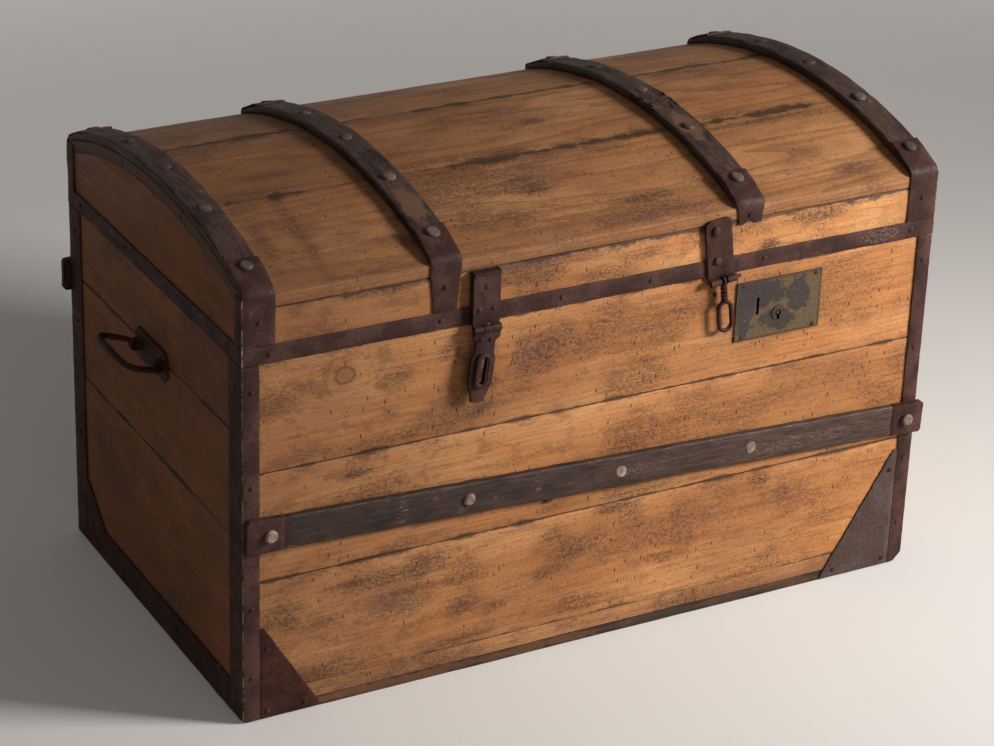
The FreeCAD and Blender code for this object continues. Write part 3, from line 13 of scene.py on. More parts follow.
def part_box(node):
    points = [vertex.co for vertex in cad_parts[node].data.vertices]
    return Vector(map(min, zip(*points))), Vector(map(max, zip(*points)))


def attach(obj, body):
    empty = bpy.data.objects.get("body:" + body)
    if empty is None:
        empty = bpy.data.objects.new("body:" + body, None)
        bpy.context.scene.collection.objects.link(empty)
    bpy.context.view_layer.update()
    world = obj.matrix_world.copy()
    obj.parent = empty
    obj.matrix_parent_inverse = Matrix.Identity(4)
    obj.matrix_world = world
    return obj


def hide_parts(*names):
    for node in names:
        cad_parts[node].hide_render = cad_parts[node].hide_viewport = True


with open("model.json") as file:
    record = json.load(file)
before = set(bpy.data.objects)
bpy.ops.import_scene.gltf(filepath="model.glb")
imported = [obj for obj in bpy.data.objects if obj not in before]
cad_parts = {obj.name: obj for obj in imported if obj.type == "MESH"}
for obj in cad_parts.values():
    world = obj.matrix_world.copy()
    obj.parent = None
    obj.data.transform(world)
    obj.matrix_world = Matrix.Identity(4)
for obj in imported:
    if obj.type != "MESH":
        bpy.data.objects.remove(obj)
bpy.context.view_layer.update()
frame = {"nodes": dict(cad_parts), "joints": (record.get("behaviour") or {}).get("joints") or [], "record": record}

bl_info = {
    "name": "Dome top trunk",
    "version": (1, 0, 0),
    "blender": (4, 5, 0),
    "location": "View3D > Sidebar > Trunk",
    "description": "Models the visible pieces of an old dome top trunk round its frame",
    "category": "Object",
}

MM = 0.001
AXIS_X, AXIS_Y, AXIS_Z = 0, 1, 2

# Facts that every piece shares, read from the frame

BODY_OF = {node: body for body, nodes in frame["record"]["behaviour"]["bodies"].items() for node in nodes}
PIVOT = {joint["name"]: Vector(joint["pos_m"]) for joint in frame["joints"] if "pos_m" in joint}

HALF_DEPTH = -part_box("front_plank_lower")[0].y
HALF_LENGTH = -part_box("front_plank_lower")[0].x
IRON = -HALF_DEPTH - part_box("lid_band")[0].y
DOME_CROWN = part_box("dome_plank_middle")[1].z
DOME_RISE = 47 * MM
DOME_RADIUS = (HALF_DEPTH**2 + DOME_RISE**2) / (2 * DOME_RISE)
DOME_CENTRE = DOME_CROWN - DOME_RADIUS
AXIS_POINT = Vector((0, 0, DOME_CENTRE))
DOME_BOARD = 14 * MM
SLAT_DEPTH = 10 * MM


# Values that the user can change

def length_property(name, words, default, low, high):
    """A length, given here in millimetres."""
    return FloatProperty(
        name=name, description=words, default=default * MM, min=low * MM, max=high * MM, unit="LENGTH")


def angle_property(name, words, default):
    """An angle, given here in degrees."""
    return FloatProperty(name=name, description=words, default=math.radians(default), subtype="ANGLE")


def colour_property(name, words, default):
    """A linear colour."""
    return FloatVectorProperty(
        name=name, description=words, default=default, min=0, max=1, size=3, subtype="COLOR")


class TrunkSizes(bpy.types.PropertyGroup):
    """Sizes of wear that don't change the trunk's frame"""

    board_rounding: length_property("Board rounding", "How far the boards' arrises are worn off", 0.7, 0.2, 4)
    board_wobble: length_property("Board unevenness", "How far a board's face strays from flat", 1.1, 0, 3)
    slat_rounding: length_property("Slat rounding", "How far the slats' arrises are worn off", 2.4, 0.2, 4)
    iron_rounding: length_property("Iron rounding", "Rounding of the edges of sheet iron", 0.6, 0.1, 0.9)
    iron_wobble: length_property("Iron unevenness", "How far the sheet iron is dented", 0.9, 0, 2)
    nail_head: length_property("Nail head", "Width of a big nail's head", 17.5, 8, 24)
    nail_crown: length_property("Nail crown", "Height of a big nail's head", 4, 1, 6)
    tack_head: length_property("Tack head", "Width of a small nail's head", 6.6, 3, 10)
    tack_crown: length_property("Tack crown", "Height of a small nail's head", 1.8, 0.5, 3)


class TrunkColours(bpy.types.PropertyGroup):
    """Colours of the wood, iron and floor"""

    pine_light: colour_property("Pine, early wood", "Pale wood between the rings", (0.54, 0.255, 0.098))
    pine_honey: colour_property("Pine, honey", "Warmer fields of the boards", (0.47, 0.190, 0.060))
    pine_dark: colour_property("Pine, late wood", "Dark lines of the rings", (0.24, 0.085, 0.025))
    dome_light: colour_property("Dome, early wood", "Pale wood of the dome", (0.42, 0.200, 0.082))
    dome_honey: colour_property("Dome, honey", "Warmer fields of the dome", (0.34, 0.145, 0.052))
    dome_dark: colour_property("Dome, late wood", "Dark lines of the dome", (0.15, 0.062, 0.025))
    speck: colour_property("Specks", "Fine dark dirt on the wood", (0.055, 0.025, 0.012))
    grime: colour_property("Grime", "Dirt in seams and worm marks", (0.012, 0.007, 0.005))
    stain: colour_property("Stain", "Old stains on the wood", (0.140, 0.056, 0.023))
    smear: colour_property("Smear", "Purple brown smears on the wood", (0.085, 0.036, 0.024))
    foot: colour_property("Foot", "Wood along the floor", (0.050, 0.027, 0.016))
    slat: colour_property("Slat", "Dark paint on the slats", (0.034, 0.0185, 0.0140))
    slat_worn: colour_property("Worn slat", "Slats where the paint is rubbed off", (0.115, 0.062, 0.042))
    iron: colour_property("Iron", "Brown skin of the sheet iron", (0.037, 0.0135, 0.0095))
    iron_mauve: colour_property("Iron, mauve", "Greyer fields of the iron", (0.072, 0.031, 0.0235))
    iron_bare: colour_property("Bare iron", "Iron where it is rubbed bright", (0.26, 0.205, 0.175))
    nail: colour_property("Nail", "Heads of the nails", (0.24, 0.175, 0.138))
    lock: colour_property("Lock plate", "Olive brown of the lock plate", (0.100, 0.060, 0.024))
    lock_grey: colour_property("Lock plate, grey", "Purple grey fields of the lock", (0.021, 0.0155, 0.0150))
    floor: colour_property("Floor", "Floor and backdrop", (0.62, 0.588, 0.548))


def settings(context):
    """The sizes and colours that the user has set."""
    return context.scene.trunk_sizes, context.scene.trunk_colours


# Modelling by hand: selecting, cutting and finishing

def hold(obj):
    """Makes an object the only one selected and the active one."""
    if bpy.context.object and bpy.context.object.mode != "OBJECT":
        bpy.ops.object.mode_set(mode="OBJECT")
    bpy.ops.object.select_all(action="DESELECT")
    obj.select_set(True)
    bpy.context.view_layer.objects.active = obj


def start_edit(obj):
    """Opens an object's mesh with all of it selected."""
    hold(obj)
    bpy.ops.object.mode_set(mode="EDIT")
    bpy.ops.mesh.select_mode(type="VERT")
    bpy.ops.mesh.select_all(action="SELECT")


def end_edit():
    """Closes the mesh that is open."""
    bpy.ops.object.mode_set(mode="OBJECT")


def pick(obj, kind, passes):
    """Selects just the corners, edges or faces of an open mesh that pass a test."""
    bpy.ops.mesh.select_mode(type=kind)
    bpy.ops.mesh.select_all(action="DESELECT")
    mesh = bmesh.from_edit_mesh(obj.data)
    items = {"VERT": mesh.verts, "EDGE": mesh.edges, "FACE": mesh.faces}[kind]
    chosen = [item for item in items if passes(item)]
    if not chosen:
        raise RuntimeError(f"nothing to select on {obj.name}")
    for item in chosen:
        item.select_set(True)
    mesh.select_flush_mode()
    bmesh.update_edit_mesh(obj.data)


def runs_along(edge, axis):
    """True for an edge that runs along one axis."""
    run = edge.verts[1].co - edge.verts[0].co
    return abs(run[axis]) > 0.99 * run.length


def middle_of(item):
    """The middle of an edge or face."""
    return sum((corner.co for corner in item.verts), Vector()) / len(item.verts)


def slice_along(obj, axis, spacing):
    """Cuts a mesh across one axis into lengths of about the spacing."""
    places = [corner.co[axis] for corner in obj.data.vertices]
    cuts = int((max(places) - min(places)) / spacing) - 1
    if cuts < 1:
        return
    start_edit(obj)
    pick(obj, "EDGE", lambda edge: runs_along(edge, axis))
    bpy.ops.mesh.subdivide(number_cuts=cuts)
    end_edit()


def slice_each(obj, along_x, along_y, along_z):
    """Cuts a mesh across all three axes into lengths of about these spacings."""
    for axis, spacing in enumerate((along_x, along_y, along_z)):
        slice_along(obj, axis, spacing)


def tidy_faces(obj):
    """Merges doubled corners and turns every face outward."""
    start_edit(obj)
    bpy.ops.mesh.remove_doubles(threshold=0.005 * MM)
    bpy.ops.mesh.normals_make_consistent(inside=False)
    end_edit()


def modify(obj, kind, **values):
    """Adds a modifier with these values and applies it."""
    hold(obj)
    modifier = obj.modifiers.new(kind.title(), kind)
    for name, value in values.items():
        setattr(modifier, name, value)
    bpy.ops.object.modifier_apply(modifier=modifier.name)


def round_edges(obj, width, segments=2, from_angle=40):
    """Rounds every edge that turns more than an angle."""
    angle = math.radians(from_angle)
    modify(obj, "BEVEL", width=width, segments=segments, limit_method="ANGLE", angle_limit=angle)


def unevenness(grain):
    """A cloud pattern of that grain in metres, made once."""
    name = f"uneven_{round(grain / MM)}"
    texture = bpy.data.textures.get(name)
    if texture is None:
        texture = bpy.data.textures.new(name, "CLOUDS")
        texture.noise_scale = grain
        texture.noise_depth = 2
    return texture


def dent(obj, depth, grain):
    """Moves the skin in and out by up to half the depth."""
    modify(obj, "DISPLACE", texture=unevenness(grain), texture_coords="LOCAL", strength=depth, mid_level=0.5)


def settle(obj):
    """Puts an object's place and size into its mesh, with its origin at the world's."""
    hold(obj)
    bpy.ops.object.transform_apply(location=True, rotation=True, scale=True)


def add_named(add, name, **values):
    """Adds a ready made object by its operator, as the only one selected, and names it."""
    bpy.ops.object.select_all(action="DESELECT")
    add(**values)
    added = bpy.context.object
    added.name = name
    return added


def add_box(name, corner, far_corner):
    """A plain box between two corners."""
    low, high = box_of((Vector(corner), Vector(far_corner)))
    box = add_named(bpy.ops.mesh.primitive_cube_add, name, size=1, location=(low + high) / 2)
    box.scale = high - low
    settle(box)
    return box


def add_sheet(name, corner, far_corner):
    """A flat upright sheet between two corners, which agree on one level axis."""
    low, high = box_of((Vector(corner), Vector(far_corner)))
    sheet = add_named(bpy.ops.mesh.primitive_plane_add, name, size=1, location=(low + high) / 2)
    size = high - low
    across_x = size.x > size.y
    sheet.rotation_euler = (math.pi / 2, 0, 0 if across_x else math.pi / 2)
    sheet.scale = (size.x if across_x else size.y, size.z, 1)
    settle(sheet)
    return sheet


def add_oval_ring(name, place, half_wide, half_tall, rod, around, across):
    """An upright ring of round rod, its upper and lower half drawn apart to an oval."""
    ring = add_named(
        bpy.ops.mesh.primitive_torus_add, name, location=place, rotation=(math.pi / 2, 0, 0),
        major_radius=half_wide, minor_radius=rod, major_segments=around, minor_segments=across)
    settle(ring)
    start_edit(ring)
    for way in (-1, 1):
        pick(ring, "VERT", lambda corner: (corner.co.z - place.z) * way > 0.05 * MM)
        bpy.ops.transform.translate(value=(0, 0, way * (half_tall - half_wide)))
    end_edit()
    return ring


def thicken(obj, thickness, outward):
    """Gives an open sheet its thickness on the outer side, told by its outermost face along a direction."""
    start_edit(obj)
    bpy.ops.mesh.normals_make_consistent(inside=False)
    mesh = bmesh.from_edit_mesh(obj.data)

    def how_far_out(face):
        return middle_of(face).dot(outward) + 0.01 * abs(face.normal.dot(outward))

    outermost = max(mesh.faces, key=how_far_out)
    if outermost.normal.dot(outward) < 0:
        bpy.ops.mesh.flip_normals()
    end_edit()
    modify(obj, "SOLIDIFY", thickness=thickness, offset=1, use_even_offset=True)


def finish_sheet(sheet, sizes, depth=None, grain=22 * MM):
    """Rounds the edges of a piece of sheet iron and dents it, by its usual unevenness or by a depth."""
    round_edges(sheet, sizes.iron_rounding, from_angle=50)
    dent(sheet, sizes.iron_wobble if depth is None else depth, grain)


def solids_of(node):
    """The corner points of each separate solid of a CAD node."""
    mesh = frame["nodes"][node].data
    spots = [tuple(round(value, 6) for value in corner.co) for corner in mesh.vertices]
    leader = {spot: spot for spot in spots}

    def lead(spot):
        while leader[spot] != spot:
            leader[spot] = leader[leader[spot]]
            spot = leader[spot]
        return spot

    for face in mesh.polygons:
        first = lead(spots[face.vertices[0]])
        for corner in face.vertices[1:]:
            leader[lead(spots[corner])] = first
    found = {}
    for spot in leader:
        found.setdefault(lead(spot), []).append(Vector(spot))
    return sorted(found.values(), key=lambda points: tuple(box_of(points)[0]))


def box_of(points):
    """Lowest and highest corner of some points."""
    low = Vector(min(point[axis] for point in points) for axis in range(3))
    high = Vector(max(point[axis] for point in points) for axis in range(3))
    return low, high


def copy_of_node(name, node):
    """A mesh of its own with a CAD node's shape, its corners merged and its flat faces whole."""
    obj = bpy.data.objects.new(name, frame["nodes"][node].data.copy())
    bpy.context.scene.collection.objects.link(obj)
    obj.data.materials.clear()
    start_edit(obj)
    bpy.ops.mesh.remove_doubles(threshold=0.005 * MM)
    bpy.ops.mesh.dissolve_limited(angle_limit=math.radians(1))
    bpy.ops.mesh.normals_make_consistent(inside=False)
    end_edit()
    return obj


def join(objects, name):
    """Several objects as one."""
    bpy.ops.object.select_all(action="DESELECT")
    for obj in objects:
        obj.select_set(True)
    bpy.context.view_layer.objects.active = objects[0]
    bpy.ops.object.join()
    objects[0].name = name
    return objects[0]


def from_solids(node, build):
    """One object joined from what is built for each solid of a node, by its number and its box."""
    pieces = [build(index, *box_of(points)) for index, points in enumerate(solids_of(node))]
    return join(pieces, f"{node}_worn")


def dress(obj, material, *nodes, smooth=32):
    """Finishes a piece: material, shading, the body it rides and the nodes it stands for."""
    if material is not None:
        obj.data.materials.clear()
        obj.data.materials.append(material)
    hold(obj)
    bpy.ops.object.shade_smooth_by_angle(angle=math.radians(smooth))
    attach(obj, BODY_OF[nodes[0]])
    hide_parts(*nodes)


def paint_node(node, material):
    """Gives a CAD node that stays as it is a material."""
    materials = frame["nodes"][node].data.materials
    materials.clear()
    materials.append(material)


# Shader trees: a helper that adds nodes and joins them, then the shared effects

# Where a mix node keeps its share, its two colours and its result among its sockets
MIX_SHARE, MIX_FIRST, MIX_SECOND, MIX_RESULT = 0, 6, 7, 2


class Wiring:
    """Adds nodes to one tree and joins them up."""

    def __init__(self, tree):
        self.tree = tree

    def feed(self, socket, value):
        if isinstance(value, bpy.types.NodeSocket):
            self.tree.links.new(value, socket)
        elif socket.type == "RGBA" and len(value) == 3:
            socket.default_value = (*value, 1)
        else:
            socket.default_value = value

    def node(self, kind, feeds=None, **settings):
        node = self.tree.nodes.new(kind)
        for name, value in settings.items():
            setattr(node, name, value)
        for name, value in (feeds or {}).items():
            self.feed(node.inputs[name], value)
        return node

    def group(self, tree, **feeds):
        return self.node("ShaderNodeGroup", feeds, node_tree=tree).outputs

    def maths(self, operation, first, second=0.0, clamp=False):
        feeds = {0: first, 1: second}
        return self.node("ShaderNodeMath", feeds, operation=operation, use_clamp=clamp).outputs["Value"]

    def times(self, first, second, clamp=False):
        return self.maths("MULTIPLY", first, second, clamp)

    def plus(self, first, second, clamp=False):
        return self.maths("ADD", first, second, clamp)

    def minus(self, first, second):
        return self.maths("SUBTRACT", first, second)

    def vectors(self, operation, first, second=(0, 0, 0)):
        node = self.node("ShaderNodeVectorMath", {0: first, 1: second}, operation=operation)
        return node.outputs["Value" if operation in ("LENGTH", "DISTANCE") else "Vector"]

    def stretched(self, vector, shares):
        return self.vectors("MULTIPLY", vector, shares)

    def noise(self, vector, scale, detail, roughness=0.55, output="Fac"):
        feeds = {"Vector": vector, "Scale": scale, "Detail": detail, "Roughness": roughness}
        return self.node("ShaderNodeTexNoise", feeds).outputs[output]

    def fade(self, value, start, end, low=0.0, high=1.0):
        feeds = {"Value": value, "From Min": start, "From Max": end, "To Min": low, "To Max": high}
        return self.node("ShaderNodeMapRange", feeds, interpolation_type="SMOOTHSTEP").outputs["Result"]

    def mix(self, share, first, second, blend="MIX"):
        feeds = {MIX_SHARE: share, MIX_FIRST: first, MIX_SECOND: second}
        node = self.node("ShaderNodeMix", feeds, data_type="RGBA", blend_type=blend, clamp_factor=True)
        return node.outputs[MIX_RESULT]

    def split(self, vector):
        return self.node("ShaderNodeSeparateXYZ", {"Vector": vector}).outputs


SOCKETS = {"vector": "NodeSocketVector", "colour": "NodeSocketColor", "number": "NodeSocketFloat"}

# Linear colours of pits, of bare and scored wood, of the lock's scratches, of greyer iron and of the floor's
# darker fields
PIT_BLACK = (0.012, 0.008, 0.007)
BARE_WOOD = (0.13, 0.062, 0.036)
SCORED_WOOD = (0.19, 0.125, 0.095)
LOCK_SCRATCH = (0.19, 0.135, 0.085)
PALE_SKIN, PALE_FIELD = (0.066, 0.040, 0.032), (0.086, 0.061, 0.050)
FLOOR_SHADE = (0.565, 0.529, 0.492)


def shader_group(name, inputs, outputs):
    """An empty shader group with named sockets; gives its wiring, its inputs and its outputs as well."""
    tree = bpy.data.node_groups.new(name, "ShaderNodeTree")
    for socket_name, kind in inputs.items():
        tree.interface.new_socket(socket_name, in_out="INPUT", socket_type=SOCKETS[kind])
    for socket_name, kind in outputs.items():
        tree.interface.new_socket(socket_name, in_out="OUTPUT", socket_type=SOCKETS[kind])
    wiring = Wiring(tree)
    return tree, wiring, wiring.node("NodeGroupInput").outputs, wiring.node("NodeGroupOutput").inputs


@cache
def pine_grain():
    """Growth rings about a line along X, with fibres and slow changes of tone."""
    tree, wire, given, result = shader_group(
        "Pine grain",
        {"Vector": "vector", "Light": "colour", "Honey": "colour", "Dark": "colour", "Contrast": "number"},
        {"Color": "colour", "Height": "number"})
    drawn_out = wire.stretched(given["Vector"], (0.10, 1, 1))
    sway = wire.noise(drawn_out, 11.0, 2.0, 0.5, "Color")
    sway = wire.stretched(wire.vectors("SUBTRACT", sway, (0.5, 0.5, 0.5)), (0, 0.045, 0.045))
    swayed = wire.vectors("ADD", drawn_out, sway)
    waves = {"Vector": swayed, "Scale": 62.0, "Distortion": 1.8, "Detail": 2.0, "Detail Scale": 1.3}
    rings = wire.node(
        "ShaderNodeTexWave", waves, wave_type="RINGS", rings_direction="X", wave_profile="SAW").outputs["Fac"]
    late = wire.maths("POWER", rings, 2.4)
    fibre = wire.noise(wire.stretched(given["Vector"], (14, 420, 420)), 1.0, 4.0, 0.65)
    tone = wire.noise(wire.stretched(given["Vector"], (0.35, 1, 1)), 9.0, 3.0, 0.6)
    share = wire.times(wire.times(late, 0.30), given["Contrast"])
    share = wire.plus(share, wire.times(wire.minus(fibre, 0.42), 1.15))
    share = wire.plus(share, wire.times(wire.minus(tone, 0.42), 0.65), clamp=True)
    ground = wire.mix(wire.fade(tone, 0.36, 0.62), given["Light"], given["Honey"])
    wire.feed(result["Color"], wire.mix(share, ground, given["Dark"]))
    wire.feed(result["Height"], wire.minus(fibre, wire.times(late, 0.35)))
    return tree


@cache
def round_spot():
    """A ragged spot round a centre on an upright face."""
    takes = {
        "Vector": "vector", "Centre": "vector", "Spread": "vector", "Ragged": "number", "Fineness": "number"}
    tree, wire, given, result = shader_group("Round spot", takes, {"Mask": "number", "Distance": "number"})
    offset = wire.vectors("SUBTRACT", given["Vector"], given["Centre"])
    distance = wire.vectors("LENGTH", wire.stretched(offset, given["Spread"]))
    rough = wire.noise(given["Vector"], given["Fineness"], 4.0, 0.65)
    rough = wire.times(wire.minus(rough, 0.5), given["Ragged"])
    distance = wire.plus(distance, rough)
    wire.feed(result["Mask"], wire.fade(distance, 1.0, 0.55))
    wire.feed(result["Distance"], distance)
    return tree


def spot_at(wire, place, centre, spread, ragged, fineness):
    """The mask and distance of a round spot at a centre."""
    return wire.group(
        round_spot(), Vector=place, Centre=centre, Spread=spread, Ragged=ragged, Fineness=fineness)


@cache
def grain_round_knot():
    """Draws the grain aside round a knot."""
    tree, wire, given, result = shader_group(
        "Grain round a knot", {"Vector": "vector", "Centre": "vector", "Spread": "vector"},
        {"Vector": "vector"})
    offset = wire.vectors("SUBTRACT", given["Vector"], given["Centre"])
    distance = wire.vectors("LENGTH", wire.stretched(offset, given["Spread"]))
    pull = wire.maths("EXPONENT", wire.times(wire.times(distance, distance), -0.35))
    aside = wire.stretched(offset, (0, 0, -0.75))
    shift = wire.node("ShaderNodeVectorMath", {0: aside, "Scale": pull}, operation="SCALE").outputs["Vector"]
    wire.feed(result["Vector"], wire.vectors("ADD", given["Vector"], shift))
    return tree


@cache
def weathered_wood():
    """Broad shade, streaks of old dirt along the grain, mottling, fine curls of dirt and specks."""
    tree, wire, given, result = shader_group(
        "Weathered wood",
        {"Vector": "vector", "Color": "colour", "Stain": "colour", "Speck": "colour", "Amount": "number"},
        {"Color": "colour", "Streaks": "number"})
    drawn_out = wire.stretched(given["Vector"], (0.55, 1, 1))
    broad = wire.noise(given["Vector"], 5.0, 3.0, 0.6)
    lines = wire.noise(wire.stretched(given["Vector"], (0.10, 1, 1)), 110.0, 5.0, 0.7)
    fine = wire.noise(drawn_out, 420.0, 4.0, 0.7)
    clusters = wire.noise(drawn_out, 13.0, 5.0, 0.62)
    mottle = wire.noise(drawn_out, 48.0, 5.0, 0.70)
    colour = wire.mix(wire.fade(broad, 0.40, 0.66, 0, 0.36), given["Color"], given["Stain"])
    colour = wire.mix(wire.fade(lines, 0.52, 0.68, 0, 0.45), colour, given["Stain"])
    mottled = wire.times(wire.fade(mottle, 0.52, 0.64, 0, 0.56), given["Amount"], clamp=True)
    colour = wire.mix(mottled, colour, given["Stain"])
    smear = wire.times(wire.fade(clusters, 0.48, 0.70), given["Amount"])
    colour = wire.mix(wire.times(smear, 0.75, clamp=True), colour, given["Stain"])
    curl = wire.maths("ABSOLUTE", wire.minus(wire.noise(drawn_out, 95.0, 3.0, 0.6), 0.5))
    curls = wire.times(wire.fade(curl, 0.022, 0.006), wire.fade(clusters, 0.47, 0.62))
    dots = wire.times(wire.fade(clusters, 0.50, 0.64), wire.fade(fine, 0.50, 0.58))
    dirt = wire.times(wire.maths("MAXIMUM", curls, dots), given["Amount"])
    colour = wire.mix(wire.times(dirt, 0.95, clamp=True), colour, given["Speck"])
    shade = wire.fade(fine, 0.32, 0.68, 1.12, 0.84)
    shade_colour = wire.node("ShaderNodeCombineXYZ", {"X": shade, "Y": shade, "Z": shade}).outputs["Vector"]
    colour = wire.mix(1.0, colour, shade_colour, "MULTIPLY")
    specks = wire.fade(wire.noise(given["Vector"], 260.0, 3.0, 0.6), 0.64, 0.68, 0, 0.80)
    wire.feed(result["Color"], wire.mix(specks, colour, given["Speck"]))
    broken = wire.plus(wire.times(lines, 0.35), wire.times(fine, 0.65))
    wire.feed(result["Streaks"], wire.fade(broken, 0.42, 0.57, 0.25, 1.0))
    return tree


@cache
def worm_marks():
    """Short upright dashes and dots, thicker in some places."""
    tree, wire, given, result = shader_group(
        "Worm marks", {"Vector": "vector", "Cells": "vector", "Amount": "number"}, {"Mask": "number"})
    stray = wire.noise(given["Vector"], 240.0, 2.0, 0.6, "Color")
    ragged = wire.stretched(stray, (2 * MM, 2 * MM, 4 * MM))
    place = wire.vectors("ADD", given["Vector"], ragged)
    crowd = wire.fade(wire.noise(given["Vector"], 9.0, 2.0), 0.42, 0.62, 0.08, 0.9)
    crowd = wire.times(crowd, given["Amount"])
    marks = []
    for share, width in (((1, 1, 1), 0.17), ((1.5, 1.5, 3.4), 0.15)):
        spots = wire.stretched(wire.stretched(place, given["Cells"]), share)
        cells = wire.node("ShaderNodeTexVoronoi", {"Vector": spots, "Scale": 1.0})
        mark = wire.fade(cells.outputs["Distance"], width, width * 0.6)
        chance = wire.split(cells.outputs["Color"])["X"]
        marks.append(wire.times(mark, wire.maths("LESS_THAN", chance, crowd)))
    wire.feed(result["Mask"], wire.maths("MAXIMUM", *marks))
    return tree


@cache
def seam_grime():
    """Dirt that creeps from both long edges of a board."""
    tree, wire, given, result = shader_group(
        "Seam grime",
        {"Vector": "vector", "Place": "number", "Low": "number", "High": "number", "Width": "number"},
        {"Mask": "number"})
    from_low = wire.minus(given["Place"], given["Low"])
    from_high = wire.minus(given["High"], given["Place"])
    from_edge = wire.maths("MINIMUM", from_low, from_high)
    creep = wire.fade(wire.noise(given["Vector"], 16.0, 5.0, 0.65), 0.42, 0.70, 0.12, 1.8)
    reach = wire.plus(wire.times(creep, given["Width"]), 0.3 * MM)
    share = wire.maths("DIVIDE", from_edge, reach)
    wire.feed(result["Mask"], wire.fade(share, 1.0, 0.12))
    return tree


@cache
def edge_wear():
    """Rubbed edges, broken up by a fine pattern."""
    tree, wire, given, result = shader_group(
        "Edge wear", {"Vector": "vector", "Edge": "number", "Start": "number", "Fineness": "number"},
        {"Mask": "number"})
    rubbed = wire.noise(given["Vector"], given["Fineness"], 4.0, 0.65)
    lowered = wire.plus(given["Edge"], wire.times(wire.minus(rubbed, 0.55), 0.10))
    end = wire.plus(given["Start"], 0.03)
    wire.feed(result["Mask"], wire.fade(lowered, given["Start"], end))
    return tree


@cache
def pitted_iron():
    """Brown skin of old iron with greyer fields, pits and rubbed edges."""
    tree, wire, given, result = shader_group(
        "Pitted iron",
        {"Vector": "vector", "Worn": "number", "Skin": "colour", "Field": "colour", "Bare": "colour"},
        {"Color": "colour", "Roughness": "number", "Height": "number"})
    fields = wire.noise(given["Vector"], 24.0, 5.0, 0.62)
    grain = wire.noise(given["Vector"], 260.0, 4.0, 0.7)
    pits = wire.fade(wire.noise(given["Vector"], 420.0, 2.0, 0.6), 0.60, 0.70)
    tone = wire.mix(wire.fade(fields, 0.40, 0.62), given["Skin"], given["Field"])
    darker = wire.mix(0.5, tone, (0.45, 0.40, 0.38), "MULTIPLY")
    tone = wire.mix(wire.fade(grain, 0.62, 0.38), tone, darker)
    tone = wire.mix(wire.times(pits, 0.7), tone, PIT_BLACK)
    scratch_place = wire.stretched(given["Vector"], (700, 700, 60))
    scratches = wire.fade(wire.noise(scratch_place, 1.0, 2.0), 0.70, 0.78)
    shown = wire.times(scratches, wire.fade(fields, 0.46, 0.60, 0.0, 0.6))
    tone = wire.mix(wire.maths("MAXIMUM", shown, given["Worn"]), tone, given["Bare"])
    wire.feed(result["Color"], tone)
    wire.feed(result["Roughness"], wire.fade(grain, 0.3, 0.7, 0.62, 0.42))
    wire.feed(result["Height"], wire.minus(grain, pits))
    return tree


def new_material(name):
    """A material with just its shader; gives its wiring, its shader and the place on the piece as well."""
    material = bpy.data.materials.new(name)
    material.use_nodes = True
    material.node_tree.nodes.clear()
    wire = Wiring(material.node_tree)
    shader = wire.node("ShaderNodeBsdfPrincipled")
    wire.node("ShaderNodeOutputMaterial", {"Surface": shader.outputs["BSDF"]})
    place = wire.node("ShaderNodeTexCoord").outputs["Object"]
    return material, wire, shader, place


def finish_shader(wire, shader, colour, roughness, height, bump, sheen=0.3):
    """Feeds a shader's colour, roughness and surface relief."""
    relief = wire.node("ShaderNodeBump", {"Height": height, "Strength": bump, "Distance": 1 * MM})
    wire.feed(shader.inputs["Base Color"], colour)
    wire.feed(shader.inputs["Roughness"], roughness)
    wire.feed(shader.inputs["Specular IOR Level"], sheen)
    wire.feed(shader.inputs["Normal"], relief.outputs["Normal"])


class Board:
    """How one board's wood looks: its pattern's place, its limits, its dirt, its knots and marks."""

    def __init__(self, seed, low, high, axis=AXIS_Z, along_y=False):
        self.seed, self.low, self.high, self.axis, self.along_y = seed, low, high, axis, along_y
        self.grime, self.worms, self.dirt, self.contrast = 4 * MM, 0.95, 0.85, 1.1
        self.knots, self.stains, self.smears, self.painted_shadows = [], [], [], []


def grain_place(wire, board, place, chance):
    """The board's own place in its log, with the grain drawn aside round its knots."""
    for x, z, radius in board.knots:
        spread = (0.5 / radius, 0, 1 / radius)
        place = wire.group(grain_round_knot(), Vector=place, Centre=(x, 0, z), Spread=spread)["Vector"]
    pith = [chance.uniform(-0.3, 0.3), chance.uniform(-0.02, 0.02), chance.uniform(-0.02, 0.02)]
    pith[board.axis] -= (board.low + board.high) / 2
    depth_axis = AXIS_Z if board.axis == AXIS_Y else AXIS_Y
    pith[depth_axis] += chance.choice((-1, 1)) * chance.uniform(0.03, 0.08)
    if depth_axis == AXIS_Y and not board.along_y:
        pith[AXIS_Y] += HALF_DEPTH
    turn = math.pi / 2 if board.along_y else 0
    turned = wire.node("ShaderNodeMapping", {"Vector": place, "Location": pith, "Rotation": (0, 0.012, turn)})
    return turned.outputs["Vector"]


def with_knots(wire, board, place, colour, honey, dark, rim):
    """Each knot's shaded surround, dark rim, honey body and dark heart."""
    rings = (
        (2.0, 1.0, 0.40, dark), (1.20, 1.0, 0.85, rim), (0.95, 0.75, 0.55, honey), (0.60, 0.10, 0.35, dark))
    for x, z, radius in board.knots:
        knot = spot_at(wire, place, (x, 0, z), (0.85 / radius, 0, 1 / radius), 0.35, 70.0)
        for start, end, share, tone in rings:
            colour = wire.mix(wire.fade(knot["Distance"], start, end, 0, share), colour, tone)
    return colour


